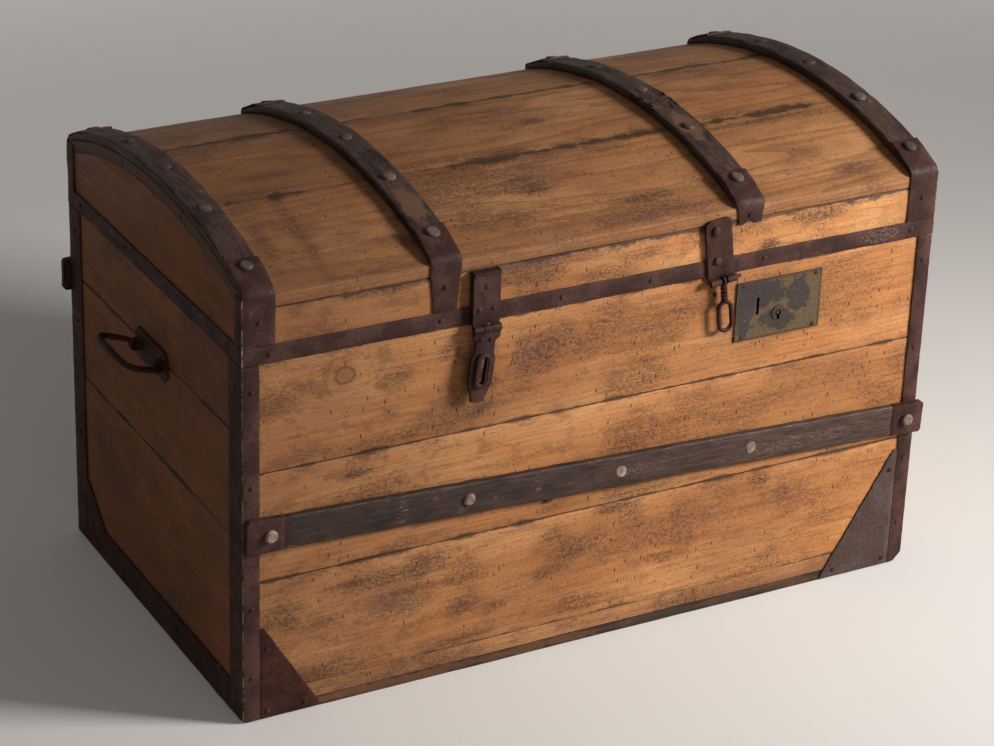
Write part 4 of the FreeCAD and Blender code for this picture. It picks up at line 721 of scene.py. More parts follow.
def with_marks(wire, board, place, colour, streaks, colours, chance):
    """Smears, stains and painted shadows, each broken up by the board's streaks."""
    on_top = board.axis == AXIS_Y
    for marks, ragged, fineness, tone, weakest, strongest in (
            (board.smears, 1.0, 28.0, colours.smear, 0.75, 0.95),
            (board.stains, 1.7, 24.0, colours.speck, 0.60, 0.92),
            # Painted shadows take the grime colour
            (board.painted_shadows, 0.3, 60.0, colours.grime, 0.95, 0.95)):
        for x, across, wide, tall in marks:
            centre = (x, across, 0) if on_top else (x, 0, across)
            spread = (0.8 / wide, 0.8 / tall, 0) if on_top else (0.8 / wide, 0, 0.8 / tall)
            spot = spot_at(wire, place, centre, spread, ragged, fineness)
            share = wire.times(wire.fade(spot["Distance"], 1.20, 0.25), streaks)
            colour = wire.mix(wire.times(share, chance.uniform(weakest, strongest)), colour, tone)
    return colour


def wood_material(name, board, light, honey, dark, colours):
    """A worn board: grain, knots, stains, grime along its seams and worm marks, dirtier on the left and darkened
    there with painted shade.
    """
    material, wire, shader, place = new_material(name)
    apart = wire.split(place)
    chance = random.Random(board.seed)
    on_board = grain_place(wire, board, place, chance)
    grain = wire.group(
        pine_grain(), Vector=on_board, Light=light, Honey=honey, Dark=dark, Contrast=board.contrast)
    colour = with_knots(wire, board, place, grain["Color"], honey, dark, colours.speck)
    # More dirt marks towards the left, partly standing in for painted shade there
    dirt = wire.times(wire.fade(apart["X"], 0.30, -0.45, 0.55, 1.35), board.dirt)
    weather = wire.group(
        weathered_wood(), Vector=on_board, Color=colour, Stain=colours.stain, Speck=colours.speck,
        Amount=dirt)
    # Painted shade: the wood is tinted darker towards the left
    colour = wire.mix(wire.fade(apart["X"], 0.15, -0.46, 0, 0.58), weather["Color"], colours.stain)
    colour = with_marks(wire, board, place, colour, weather["Streaks"], colours, chance)
    if board.axis == AXIS_Y:
        from_middle = wire.maths("ABSOLUTE", apart["X"])
        end_grain = wire.fade(from_middle, HALF_LENGTH - 1.5 * MM, HALF_LENGTH - 0.4 * MM, 0, 0.85)
        colour = wire.mix(end_grain, colour, colours.speck)
    seam = wire.group(
        seam_grime(), Vector=place, Place=apart["XYZ"[board.axis]], Low=board.low, High=board.high,
        Width=board.grime)["Mask"]
    colour = wire.mix(wire.times(seam, 0.8), colour, colours.grime)
    cells = (165, 165, 46) if board.axis == AXIS_Z else (165, 46, 46)
    worms = wire.group(worm_marks(), Vector=place, Cells=cells, Amount=board.worms)["Mask"]
    colour = wire.mix(wire.times(worms, 0.88), colour, colours.grime)
    roughness = wire.fade(grain["Height"], 0.2, 0.8, 0.62, 0.46)
    height = wire.minus(grain["Height"], wire.times(worms, 1.2))
    finish_shader(wire, shader, colour, roughness, height, 0.35, 0.2)
    return material


def tinted(colour, shares):
    """A colour with a share of its red, green and blue."""
    return [value * share for value, share in zip(colour, shares)]


# Shares of the pine's colour that the sides show, the left end's darker and redder, its darkness mostly painted
# shade
SIDE_TONES_AND_SHADE = {"front": (1, 1, 1), "left": (0.72, 0.43, 0.29), "right": (0.82, 0.76, 0.70)}


def pine(name, board, colours, side="front"):
    """Warm pine of the case and the lid's walls, in the tone of one side, the left side's darker tone mostly
    painted shade.
    """
    pines = (colours.pine_light, colours.pine_honey, colours.pine_dark)
    return wood_material(name, board, *(tinted(colour, SIDE_TONES_AND_SHADE[side]) for colour in pines), colours)


def dome_pine(name, board, colours):
    """Greyer pine of the dome."""
    return wood_material(name, board, colours.dome_light, colours.dome_honey, colours.dome_dark, colours)


def slat_material(name, colours, along_y, bare=None, scored=()):
    """Dark painted wood, rubbed through on its edges and along its grain, bare or scored in places."""
    material, wire, shader, place = new_material(name)
    turn = math.pi / 2 if along_y else 0
    turned = wire.node("ShaderNodeMapping", {"Vector": place, "Rotation": (0, 0, turn)}).outputs["Vector"]
    fibre = wire.noise(wire.stretched(turned, (32, 270, 270)), 1.0, 5.0, 0.70)
    fields = wire.noise(wire.stretched(turned, (0.4, 1, 1)), 30.0, 5.0, 0.65)
    colour = wire.mix(wire.fade(fibre, 0.35, 0.7, 0.0, 0.55), colours.slat, colours.slat_worn)
    colour = wire.mix(wire.fade(fields, 0.52, 0.34, 0.0, 0.8), colour, colours.grime)
    if not along_y:
        # Painted shade: the case slats are darkened towards the left
        painted_shade_left = wire.fade(wire.split(place)["X"], 0.28, -0.44, 0, 0.52)
        colour = wire.mix(painted_shade_left, colour, colours.grime)
    pits = wire.fade(wire.noise(turned, 300.0, 3.0, 0.65), 0.58, 0.68, 0, 0.65)
    colour = wire.mix(pits, colour, colours.grime)
    edge = wire.node("ShaderNodeNewGeometry").outputs["Pointiness"]
    worn = wire.group(edge_wear(), Vector=place, Edge=edge, Start=0.535, Fineness=70.0)["Mask"]
    rubbed = [value * 1.5 for value in colours.slat_worn]
    colour = wire.mix(wire.times(worn, 0.85), colour, rubbed)
    chips = wire.noise(wire.stretched(turned, (0.5, 1, 1)), 85.0, 4.0, 0.7)
    colour = wire.mix(wire.fade(chips, 0.64, 0.68, 0, 0.8), colour, colours.slat_worn)
    if bare:
        spot = spot_at(wire, place, bare, (60, 24, 0), 1.6, 60.0)
        colour = wire.mix(wire.times(spot["Mask"], 0.7), colour, BARE_WOOD)
    for centre, spread, stroke in scored:
        spot = spot_at(wire, place, centre, spread, 0.5, 60.0)
        strokes = wire.noise(wire.stretched(place, stroke), 1.0, 1.0)
        marks = wire.times(spot["Mask"], wire.fade(strokes, 0.50, 0.70, 0, 0.55))
        colour = wire.mix(marks, colour, SCORED_WOOD)
    finish_shader(wire, shader, colour, wire.fade(fibre, 0.3, 0.7, 0.65, 0.5), fibre, 0.5, 0.2)
    return material


def iron_material(name, skin, field, bare, wear=0.575, arris=False, scored=None):
    """Old pitted iron, rubbed at its edges, along the case's arrises or in one scored place; made once."""
    if name in bpy.data.materials:
        return bpy.data.materials[name]
    material, wire, shader, place = new_material(name)
    worn = 0.0
    if wear:
        edge = wire.node("ShaderNodeNewGeometry").outputs["Pointiness"]
        rubbed = wire.group(edge_wear(), Vector=place, Edge=edge, Start=wear, Fineness=110.0)["Mask"]
        worn = wire.times(rubbed, 0.7)
    if arris:
        apart = wire.split(place)
        beyond_x = wire.fade(wire.maths("ABSOLUTE", apart["X"]), HALF_LENGTH, HALF_LENGTH + 1.2 * MM)
        beyond_y = wire.fade(wire.maths("ABSOLUTE", apart["Y"]), HALF_DEPTH, HALF_DEPTH + 1.2 * MM)
        broken = wire.fade(wire.noise(place, 55.0, 5.0, 0.7), 0.42, 0.58)
        line = wire.times(wire.times(beyond_x, beyond_y), broken)
        worn = wire.maths("MAXIMUM", worn, wire.times(line, 0.9))
    if scored:
        spot = spot_at(wire, place, scored, (30, 0, 80), 0.6, 60.0)
        scratch_place = wire.stretched(place, (300, 1, 760))
        marks = wire.fade(wire.noise(scratch_place, 1.0, 3.0), 0.50, 0.66, 0, 0.6)
        worn = wire.maths("MAXIMUM", worn, wire.times(spot["Mask"], marks))
    iron = wire.group(pitted_iron(), Vector=place, Worn=worn, Skin=skin, Field=field, Bare=bare)
    roughness = wire.plus(iron["Roughness"], 0.06)
    finish_shader(wire, shader, iron["Color"], roughness, iron["Height"], 0.5, 0.15)
    return material


# Shares of the iron's red, green and blue near the floor, where rust and painted shade darken it, and on the
# forged pieces
RUST_AND_SHADE_TONES = (0.80, 0.56, 0.43)
FORGED_TONES = (0.92, 0.82, 0.76)


def sheet_iron(name, colours, **wear):
    """Brown sheet iron with its own wear."""
    return iron_material(name, colours.iron, colours.iron_mauve, colours.iron_bare, **wear)


def strap_iron(colours):
    """Sheet iron of the slat caps and of most clamps."""
    return sheet_iron("strap_iron_aged", colours)


def corner_iron_look(colours):
    """Sheet iron folded round a corner of the trunk, rubbed along the fold."""
    return sheet_iron("strap_iron_corner", colours, wear=0.57, arris=True)


def foot_iron(colours):
    """Sheet iron near the floor on the left and along the ends, red with rust and dark partly with painted shade.
    """
    skin = tinted(colours.iron, RUST_AND_SHADE_TONES)
    field = tinted(colours.iron_mauve, RUST_AND_SHADE_TONES)
    return iron_material("strap_iron_foot", skin, field, colours.iron_bare)


def band_iron(colours):
    """Sheet iron of the lid's band, with scratches near its right end."""
    return sheet_iron("strap_iron_band", colours, arris=True, scored=(0.372, 0, 0.459))


def pale_iron(colours):
    """Greyer sheet iron of the right gusset."""
    return iron_material("strap_iron_pale", PALE_SKIN, PALE_FIELD, colours.iron_bare)


def forged_iron(colours):
    """Forged iron of hinges, hasps and handles, a little darker."""
    skin = [value * 0.8 for value in colours.iron]
    field = tinted(colours.iron_mauve, FORGED_TONES)
    return iron_material("forged_iron_aged", skin, field, colours.iron_bare, wear=None)


def nail_iron(colours, name, share):
    """Nail heads, rubbed lighter on top, with a share of the nails' colour."""
    field = [value * share for value in colours.nail]
    skin = [value * 0.45 for value in field]
    return iron_material(name, skin, field, field, wear=0.62)


def tack_iron(colours):
    """Heads of the small nails, nearly as dark as the iron they hold."""
    return iron_material("tack_iron_aged", colours.iron, colours.iron_mauve, colours.nail, wear=0.62)


# Boards

# Radius of the worn lower front corners on the left and on the right, and the cuts that come near a round:
# how far along the front and how far up each cut reaches, in radii
CORNER_WORN = {-1: 9 * MM, 1: 18 * MM}
CORNER_CUTS = ((0.80, 0.33), (0.59, 0.59), (0.33, 0.80))


def wear_off_corners(obj):
    """Takes off the trunk's lower front corners in slanting cuts where a piece reaches them."""
    for side, radius in CORNER_WORN.items():
        corner = Vector((side * (HALF_LENGTH + IRON), -HALF_DEPTH - IRON, 0))
        if min((point.co - corner).length for point in obj.data.vertices) > radius:
            continue
        start_edit(obj)
        for along, up in CORNER_CUTS:
            foot = corner - Vector((side * along * radius, 0, 0))
            bpy.ops.mesh.select_all(action="SELECT")
            bpy.ops.mesh.bisect(
                plane_co=foot, plane_no=(side / along, -0.5, -1 / up), use_fill=True, clear_outer=True)
        end_edit()


def worn_board(name, low, high, sizes, inner_lift=0.0):
    """A sawn board with worn arrises and an uneven face; its top can rise towards the trunk's inside."""
    board = add_box(name, low, high)
    if inner_lift:
        inside = low.y if abs(low.y) < abs(high.y) else high.y
        start_edit(board)
        pick(board, "VERT", lambda corner: abs(corner.co.y - inside) < MM and corner.co.z > high.z - MM)
        bpy.ops.transform.translate(value=(0, 0, inner_lift))
        end_edit()
    slice_each(board, 14 * MM, 14 * MM, 14 * MM)
    round_edges(board, sizes.board_rounding)
    dent(board, sizes.board_wobble, 60 * MM)
    wear_off_corners(board)
    return board


def joined_boards(node, sizes, wood_of):
    """Models the boards of one node as one object, each with its own wood."""
    def board(seed, low, high):
        plank = worn_board(f"{node}_{seed}", low, high, sizes)
        plank.data.materials.append(wood_of(seed, low, high))
        return plank

    dress(from_solids(node, board), None, node)


# Knots, stains, purple brown smears and a painted shadow behind the left hasp's slot, each with its place along
# and up the front, and its radius or its half width and half height

FRONT_KNOTS = {
    "front_plank_upper": [(-0.328, 0.414, 0.010), (-0.073, 0.397, 0.012)],
}
FRONT_STAINS = {
    "front_plank_upper": [
        (-0.300, 0.322, 0.050, 0.010), (-0.222, 0.331, 0.040, 0.016), (-0.160, 0.340, 0.030, 0.012),
        (-0.262, 0.398, 0.022, 0.016), (-0.345, 0.425, 0.010, 0.006), (0.052, 0.332, 0.050, 0.012)],
    "front_plank_middle": [(-0.310, 0.291, 0.025, 0.008), (0.060, 0.190, 0.060, 0.014)],
    "front_plank_lower": [
        (-0.290, 0.146, 0.060, 0.014), (-0.013, 0.052, 0.045, 0.015), (-0.190, 0.045, 0.060, 0.010),
        (-0.343, 0.043, 0.070, 0.020), (-0.405, 0.130, 0.030, 0.018), (-0.033, 0.130, 0.020, 0.016),
        (0.034, 0.170, 0.028, 0.010), (0.226, 0.163, 0.014, 0.013), (0.095, 0.088, 0.040, 0.006),
        (0.146, 0.022, 0.010, 0.008), (0.200, 0.030, 0.036, 0.008)],
}
FRONT_SMEARS = {
    "front_plank_upper": [
        # The third smear on this plank lies behind the left hasp: painted shade
        (-0.200, 0.418, 0.014, 0.010), (-0.100, 0.395, 0.020, 0.012), (-0.159, 0.392, 0.018, 0.050)],
    "front_plank_lower": [
        (-0.231, 0.154, 0.020, 0.016), (-0.183, 0.087, 0.019, 0.016), (0.012, 0.173, 0.016, 0.010),
        (0.263, 0.139, 0.012, 0.011), (-0.260, 0.112, 0.050, 0.020)],
}
# A painted shadow where the wood shows through the left hasp's slot
PAINTED_SLOT_SHADOW = {"front_plank_upper": [(-0.161, 0.374, 0.011, 0.024)]}


class TRUNK_OT_case_planks(bpy.types.Operator):
    """Models the planks of the case's four sides"""

    bl_idname = "trunk.case_planks"
    bl_label = "Case planks"

    def execute(self, context):
        sizes, colours = settings(context)
        for seed, row in enumerate(("lower", "middle", "upper")):
            for side in ("front", "left", "right"):
                node = f"{side}_plank_{row}"
                low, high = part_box(node)
                obj = worn_board(f"{node}_worn", low, high, sizes)
                if node == "front_plank_upper":
                    self.cut_mortise(obj)
                at_end = side != "front"
                look = Board(seed * 7 + len(side), low.z, high.z, along_y=at_end)
                look.dirt = 1.1 if at_end else 0.85
                look.knots = FRONT_KNOTS.get(node, [])
                look.stains = FRONT_STAINS.get(node, [])
                look.smears = FRONT_SMEARS.get(node, [])
                look.painted_shadows = PAINTED_SLOT_SHADOW.get(node, [])
                dress(obj, pine(f"pine_{side}_{row}", look, colours, side), node)

        def back_wood(seed, low, high):
            return pine(f"pine_back_{seed}", Board(40 + seed, low.z, high.z), colours)

        joined_boards("back_planks", sizes, back_wood)
        return {"FINISHED"}

    def cut_mortise(self, plank):
        """Sinks the lock's bed into the plank."""
        low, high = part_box("lock_case")
        spare = Vector((0.3, 0.3, 0.3)) * MM
        cutter = add_box("mortise_cutter", low - spare - Vector((0, 8 * MM, 0)), high + spare)
        modify(plank, "BOOLEAN", object=cutter, operation="DIFFERENCE", solver="EXACT")
        bpy.data.objects.remove(cutter)


class TRUNK_OT_foot(bpy.types.Operator):
    """Models the runners and the floor boards"""

    bl_idname = "trunk.foot"
    bl_label = "Runners and floor"

    def execute(self, context):
        sizes, colours = settings(context)

        def runner_wood(seed, low, high):
            """Dark wood along the floor."""
            look = Board(60 + seed, low.z, high.z)
            look.grime = 6 * MM
            dark = [value * 0.4 for value in colours.foot]
            return wood_material(f"runner_wood_{seed}", look, colours.foot, colours.foot, dark, colours)

        def floor_wood(seed, low, high):
            """Wood of the boards inside, with limits so far out that their seams stay clean."""
            look = Board(60 + seed, -1, 1, axis=AXIS_Y)
            look.dirt = 0.9
            return dome_pine(f"floor_wood_{seed}", look, colours)

        joined_boards("runners", sizes, runner_wood)
        joined_boards("floor_boards", sizes, floor_wood)
        return {"FINISHED"}


# Marks on the lid's rails, each with its place along and up the rail, and its half width and half height

RAIL_STAINS = [(0.280, 0.500, 0.050, 0.008), (-0.290, 0.508, 0.050, 0.006), (0.220, 0.474, 0.016, 0.008)]
# The second list darkens bands along the rail's top, just under the dome's edge
RAIL_DARK_BANDS = [(-0.080, 0.508, 0.110, 0.010), (0.060, 0.512, 0.080, 0.006), (0.330, 0.510, 0.070, 0.006)]


class TRUNK_OT_lid_walls(bpy.types.Operator):
    """Models the rails and the arched ends of the lid"""

    bl_idname = "trunk.lid_walls"
    bl_label = "Lid walls"

    def execute(self, context):
        sizes, colours = settings(context)
        under_dome = DOME_RADIUS - DOME_BOARD - 0.2 * MM
        outer_top = DOME_CENTRE + math.sqrt(under_dome**2 - HALF_DEPTH**2)
        for seed, node in enumerate(("lid_front_rail", "lid_rear_rail")):
            low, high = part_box(node)
            lift = high.z - outer_top
            obj = worn_board(f"{node}_worn", low, Vector((high.x, high.y, outer_top)), sizes, inner_lift=lift)
            look = Board(80 + seed, low.z, outer_top)
            look.grime = 9 * MM
            look.stains = RAIL_STAINS
            look.smears = RAIL_DARK_BANDS
            dress(obj, pine(f"pine_{node}", look, colours), node)
        for seed, side in enumerate(("left", "right")):
            node = f"lid_{side}_end"
            low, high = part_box(node)
            obj = copy_of_node(f"{node}_worn", node)
            round_edges(obj, sizes.board_rounding, from_angle=50)
            look = Board(90 + seed, low.z, high.z, along_y=True)
            look.grime, look.dirt = 8 * MM, 1.0
            dress(obj, pine(f"pine_{node}", look, colours, side), node)
        return {"FINISHED"}


def bent_strip(name, x_low, x_high, y_low, y_high, inside, outside):
    """A strip bent over the dome: its end face is spun about the dome's axis."""
    start = math.asin(y_low / outside)
    end = math.asin(y_high / outside)
    radius = (inside + outside) / 2
    place = ((x_low + x_high) / 2, radius * math.sin(start), DOME_CENTRE + radius * math.cos(start))
    turn = (math.pi / 2 - start, 0, 0)
    strip = add_named(bpy.ops.mesh.primitive_plane_add, name, size=1, location=place, rotation=turn)
    strip.scale = (x_high - x_low, outside - inside, 1)
    settle(strip)
    steps = max(4, round((end - start) * outside / (12 * MM)))
    start_edit(strip)
    bpy.ops.mesh.spin(steps=steps, angle=end - start, center=(0, 0, DOME_CENTRE), axis=(1, 0, 0))
    end_edit()
    tidy_faces(strip)
    return strip


def trim(obj, y_place, keep_above):
    """Cuts a bent strip off upright at one depth."""
    start_edit(obj)
    bpy.ops.mesh.bisect(
        plane_co=(0, y_place, 0), plane_no=(0, 1, 0), use_fill=True, clear_inner=keep_above,
        clear_outer=not keep_above)
    end_edit()
    tidy_faces(obj)


# Marks on the dome, each with its place along and across the dome, and its half length and half width

DOME_STAINS = {
    "front": [
        (-0.051, -0.159, 0.022, 0.018), (0.073, -0.211, 0.045, 0.010), (-0.120, -0.200, 0.050, 0.016),
        (-0.080, -0.104, 0.110, 0.007), (0.300, -0.108, 0.110, 0.006)],
    "middle": [
        (-0.110, -0.080, 0.130, 0.012), (0.110, -0.088, 0.090, 0.006), (0.290, -0.086, 0.090, 0.008),
        (0.025, -0.019, 0.020, 0.008), (-0.352, 0.110, 0.030, 0.006), (-0.230, 0.020, 0.040, 0.006)],
}
DOME_SMEARS = {
    "front": [
        (-0.345, -0.165, 0.010, 0.075), (-0.390, -0.165, 0.010, 0.030), (0.080, -0.236, 0.130, 0.010),
        (-0.280, -0.246, 0.090, 0.006), (0.354, -0.222, 0.030, 0.012), (-0.050, -0.140, 0.060, 0.030)],
    "middle": [(-0.365, -0.080, 0.060, 0.014), (-0.330, -0.047, 0.040, 0.010), (0.264, 0.057, 0.060, 0.014)],
}


class TRUNK_OT_dome_planks(bpy.types.Operator):
    """Models the three wide planks of the dome"""

    bl_idname = "trunk.dome_planks"
    bl_label = "Dome planks"

    def execute(self, context):
        sizes, colours = settings(context)
        spare = 4 * MM
        for seed, row in enumerate(("front", "middle", "rear")):
            node = f"dome_plank_{row}"
            low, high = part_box(node)
            y_low = low.y - (spare if row == "front" else 0)
            y_high = high.y + (spare if row == "rear" else 0)
            plank = bent_strip(
                f"{node}_worn", low.x, high.x, y_low, y_high, DOME_RADIUS - DOME_BOARD, DOME_RADIUS)
            if row == "front":
                trim(plank, low.y, True)
            if row == "rear":
                trim(plank, high.y, False)
            slice_along(plank, AXIS_X, 14 * MM)
            round_edges(plank, sizes.board_rounding)
            dent(plank, sizes.board_wobble, 60 * MM)
            clean_low = low.y - (30 * MM if row == "front" else 0)
            clean_high = high.y + (30 * MM if row == "rear" else 0)
            look = Board(100 + seed, clean_low, clean_high, axis=AXIS_Y)
            look.grime, look.worms, look.dirt, look.contrast = 13 * MM, 0.55, 0.75, 1.9
            look.stains = DOME_STAINS.get(row, [])
            look.smears = DOME_SMEARS.get(row, [])
            dress(plank, dome_pine(f"dome_pine_{row}", look, colours), node)
        return {"FINISHED"}


# Length over which a dome slat's end is cut thinner, and the share of its depth that is cut off there
SLAT_END_RUN = 34 * MM
SLAT_END_CUT = 0.5


def slat_top(depth):
    """How far a dome slat's top is from the dome's axis."""
    share = min(1, max(0, (abs(depth) - HALF_DEPTH + SLAT_END_RUN) / SLAT_END_RUN))
    return DOME_RADIUS + SLAT_DEPTH * (1 - SLAT_END_CUT * share)


# The middles of bare places on the inner slats, and the depths between which the right one is splintered
BARE_PLACES = {"left": (-0.207, -0.165, 0), "right": (0.188, -0.105, 0)}
SPLINTERED_FROM, SPLINTERED_TO = -0.070, 0.005


class TRUNK_OT_dome_slats(bpy.types.Operator):
    """Models the four slats bent over the dome"""

    bl_idname = "trunk.dome_slats"
    bl_label = "Dome slats"

    def execute(self, context):
        sizes, colours = settings(context)
        for place in ("left_end", "left", "right", "right_end"):
            node = f"dome_slat_{place}"
            low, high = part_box(node)
            slat = bent_strip(
                f"{node}_worn", low.x, high.x, -HALF_DEPTH - 4 * MM, HALF_DEPTH + 4 * MM,
                DOME_RADIUS, DOME_RADIUS + SLAT_DEPTH)
            trim(slat, -HALF_DEPTH, True)
            trim(slat, HALF_DEPTH, False)
            self.thin_ends(slat)
            slice_along(slat, AXIS_X, 9 * MM)
            round_edges(slat, sizes.slat_rounding, segments=3)
            dent(slat, 2.4 * MM, 20 * MM)
            if place == "right":
                self.splinter(slat)
            look = slat_material(f"dark_slat_{place}", colours, True, bare=BARE_PLACES.get(place))
            dress(slat, look, node)
        return {"FINISHED"}

    def splinter(self, slat):
        """Breaks up a worn stretch of one slat's top."""
        start_edit(slat)
        pick(slat, "FACE", lambda piece: SPLINTERED_FROM < middle_of(piece).y < SPLINTERED_TO)
        bpy.ops.mesh.subdivide(number_cuts=2)
        pick(slat, "VERT", lambda corner: SPLINTERED_FROM + 8 * MM < corner.co.y < SPLINTERED_TO - 9 * MM
             and (corner.co - AXIS_POINT).yz.length > DOME_RADIUS + 0.5 * SLAT_DEPTH)
        bpy.ops.transform.vertex_random(offset=2.2 * MM, uniform=0.3, normal=0.0, seed=3)
        end_edit()

    def thin_ends(self, slat):
        """Lowers the top of both ends row by row."""
        middle = DOME_RADIUS + SLAT_DEPTH / 2
        top = [corner.co for corner in slat.data.vertices if (corner.co - AXIS_POINT).yz.length > middle]
        rows = {round(place.y, 5) for place in top if slat_top(place.y) < DOME_RADIUS + SLAT_DEPTH}
        start_edit(slat)
        for row in sorted(rows):
            pick(slat, "VERT", lambda corner: abs(corner.co.y - row) < 0.02 * MM
                 and (corner.co - AXIS_POINT).yz.length > middle)
            bpy.ops.transform.translate(value=(0, 0, slat_top(row) - DOME_RADIUS - SLAT_DEPTH))
        end_edit()


# How far the front slat falls to the right and how far its right tip is worn off,
# a cap's length, and how deep it is let into the slat
SLAT_DROP = 36 * MM
TIP_WORN = 4 * MM
CAP_LENGTH = 44 * MM
CAP_LET_IN = 1.6 * MM

# Rubbed places on the front slat, each with its middle, how tightly it holds together and how fine its
# strokes are along, across and up
RUBBED_PLACES = (
    ((-0.259, 0, 0.235), (110, 0, 46), (140, 1, 700)),
    ((0.060, 0, 0.219), (24, 0, 90), (420, 1, 700)),
    ((0.280, 0, 0.210), (9, 0, 80), (300, 1, 800)),
)


class TRUNK_OT_case_slats(bpy.types.Operator):
    """Models the slats along the front and the back of the case"""

    bl_idname = "trunk.case_slats"
    bl_label = "Case slats"

    width: length_property("Width", "Width of a case slat", 40, 20, 80)

    def execute(self, context):
        sizes, colours = settings(context)
        for node, face, drop, scored in (
                ("front_slat", -1, SLAT_DROP, RUBBED_PLACES), ("rear_slat", 1, 0, ())):
            low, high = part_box(node)
            if face < 0:
                high.x -= TIP_WORN
            lean = math.atan2(drop, 2 * HALF_LENGTH)
            reach = (high.x - low.x) / 2 / math.cos(lean)
            middle = (low + high) / 2
            y_wall, y_face = face * HALF_DEPTH, face * (HALF_DEPTH + SLAT_DEPTH)
            slat = add_box(
                f"{node}_worn", (middle.x - reach, y_wall, middle.z - self.width / 2),
                (middle.x + reach, y_face, middle.z + self.width / 2))
            slice_along(slat, AXIS_X, 9 * MM)
            slice_along(slat, AXIS_Z, 9 * MM)
            start_edit(slat)
            self.let_in_irons(slat, y_wall)
            self.let_in_caps(slat, low, high, y_face)
            end_edit()
            hold(slat)
            bpy.ops.transform.rotate(value=-lean, orient_axis="Y", center_override=middle)
            settle(slat)
            round_edges(slat, sizes.slat_rounding, segments=3, from_angle=60)
            dent(slat, 2.0 * MM, 22 * MM)
            dress(slat, slat_material(f"dark_{node}", colours, False, scored=scored), node)
        return {"FINISHED"}

    def let_in_irons(self, slat, y_wall):
        """Cuts the slat's back away where it crosses the corner irons."""
        start = HALF_LENGTH - 19.6 * MM
        pick(slat, "VERT", lambda corner: abs(corner.co.y - y_wall) < MM and abs(corner.co.x) > start)
        bpy.ops.transform.translate(value=(0, math.copysign(IRON + 0.3 * MM, y_wall), 0))

    def let_in_caps(self, slat, low, high, y_face):
        """Cuts the slat's ends back all round, so that the caps lie in line with it."""
        middle_z = (low.z + high.z) / 2

        def under_cap(corner):
            return corner.co.x < low.x + CAP_LENGTH - 3 * MM or corner.co.x > high.x - CAP_LENGTH + 3 * MM

        for way in (-1, 1):
            edge_z = middle_z + way * self.width / 2
            pick(slat, "VERT", lambda corner: under_cap(corner) and abs(corner.co.z - edge_z) < MM)
            bpy.ops.transform.translate(value=(0, 0, -way * CAP_LET_IN))
        pick(slat, "VERT", lambda corner: under_cap(corner) and abs(corner.co.y - y_face) < MM)
        bpy.ops.transform.translate(value=(0, -math.copysign(CAP_LET_IN, y_face), 0))


# Sheet iron

class TRUNK_OT_slat_caps(bpy.types.Operator):
    """Models the iron caps folded over the ends of the case slats"""

    bl_idname = "trunk.slat_caps"
    bl_label = "Slat caps"

    def execute(self, context):
        sizes, colours = settings(context)
        caps = from_solids(
            "slat_caps", lambda index, low, high: self.cap(f"slat_cap_{index}", low, high, sizes))
        dress(caps, strap_iron(colours), "slat_caps")
        return {"FINISHED"}

    def cap(self, name, low, high, sizes):
        """One cap: a box without its back and its inner end, with the slat's lean."""
        middle = (low + high) / 2
        side = math.copysign(1, middle.x)
        face = math.copysign(1, middle.y)
        lean = math.atan2(SLAT_DROP, 2 * HALF_LENGTH) if face < 0 else 0
        wall = face * (HALF_DEPTH + 1.5 * MM)
        front = face * (HALF_DEPTH + SLAT_DEPTH - 0.7 * MM)
        thick = 1.0 * MM
        tall = 19.2 * MM
        tip = high.x - thick if side > 0 else low.x + thick
        if face < 0 and side > 0:
            tip -= TIP_WORN
        inner_end = tip - side * CAP_LENGTH
        cap = add_box(name, (tip, wall, middle.z - tall), (inner_end, front, middle.z + tall))
        start_edit(cap)
        pick(cap, "EDGE", lambda edge: runs_along(edge, AXIS_Y) and (middle_of(edge).x - middle.x) * side > 0)
        bpy.ops.mesh.bevel(offset=3.5 * MM, segments=3)
        pick(cap, "FACE", lambda piece: piece.normal.y * face < -0.5 or piece.normal.x * side < -0.9)
        bpy.ops.mesh.delete(type="FACE")
        end_edit()
        slice_each(cap, 7 * MM, 7 * MM, 7 * MM)
        thicken(cap, thick, Vector((0, face, 0)))
        hold(cap)
        bpy.ops.transform.rotate(value=-lean, orient_axis="Y", center_override=middle)
        settle(cap)
        finish_sheet(cap, sizes, 1.2 * MM, 20 * MM)
        return cap


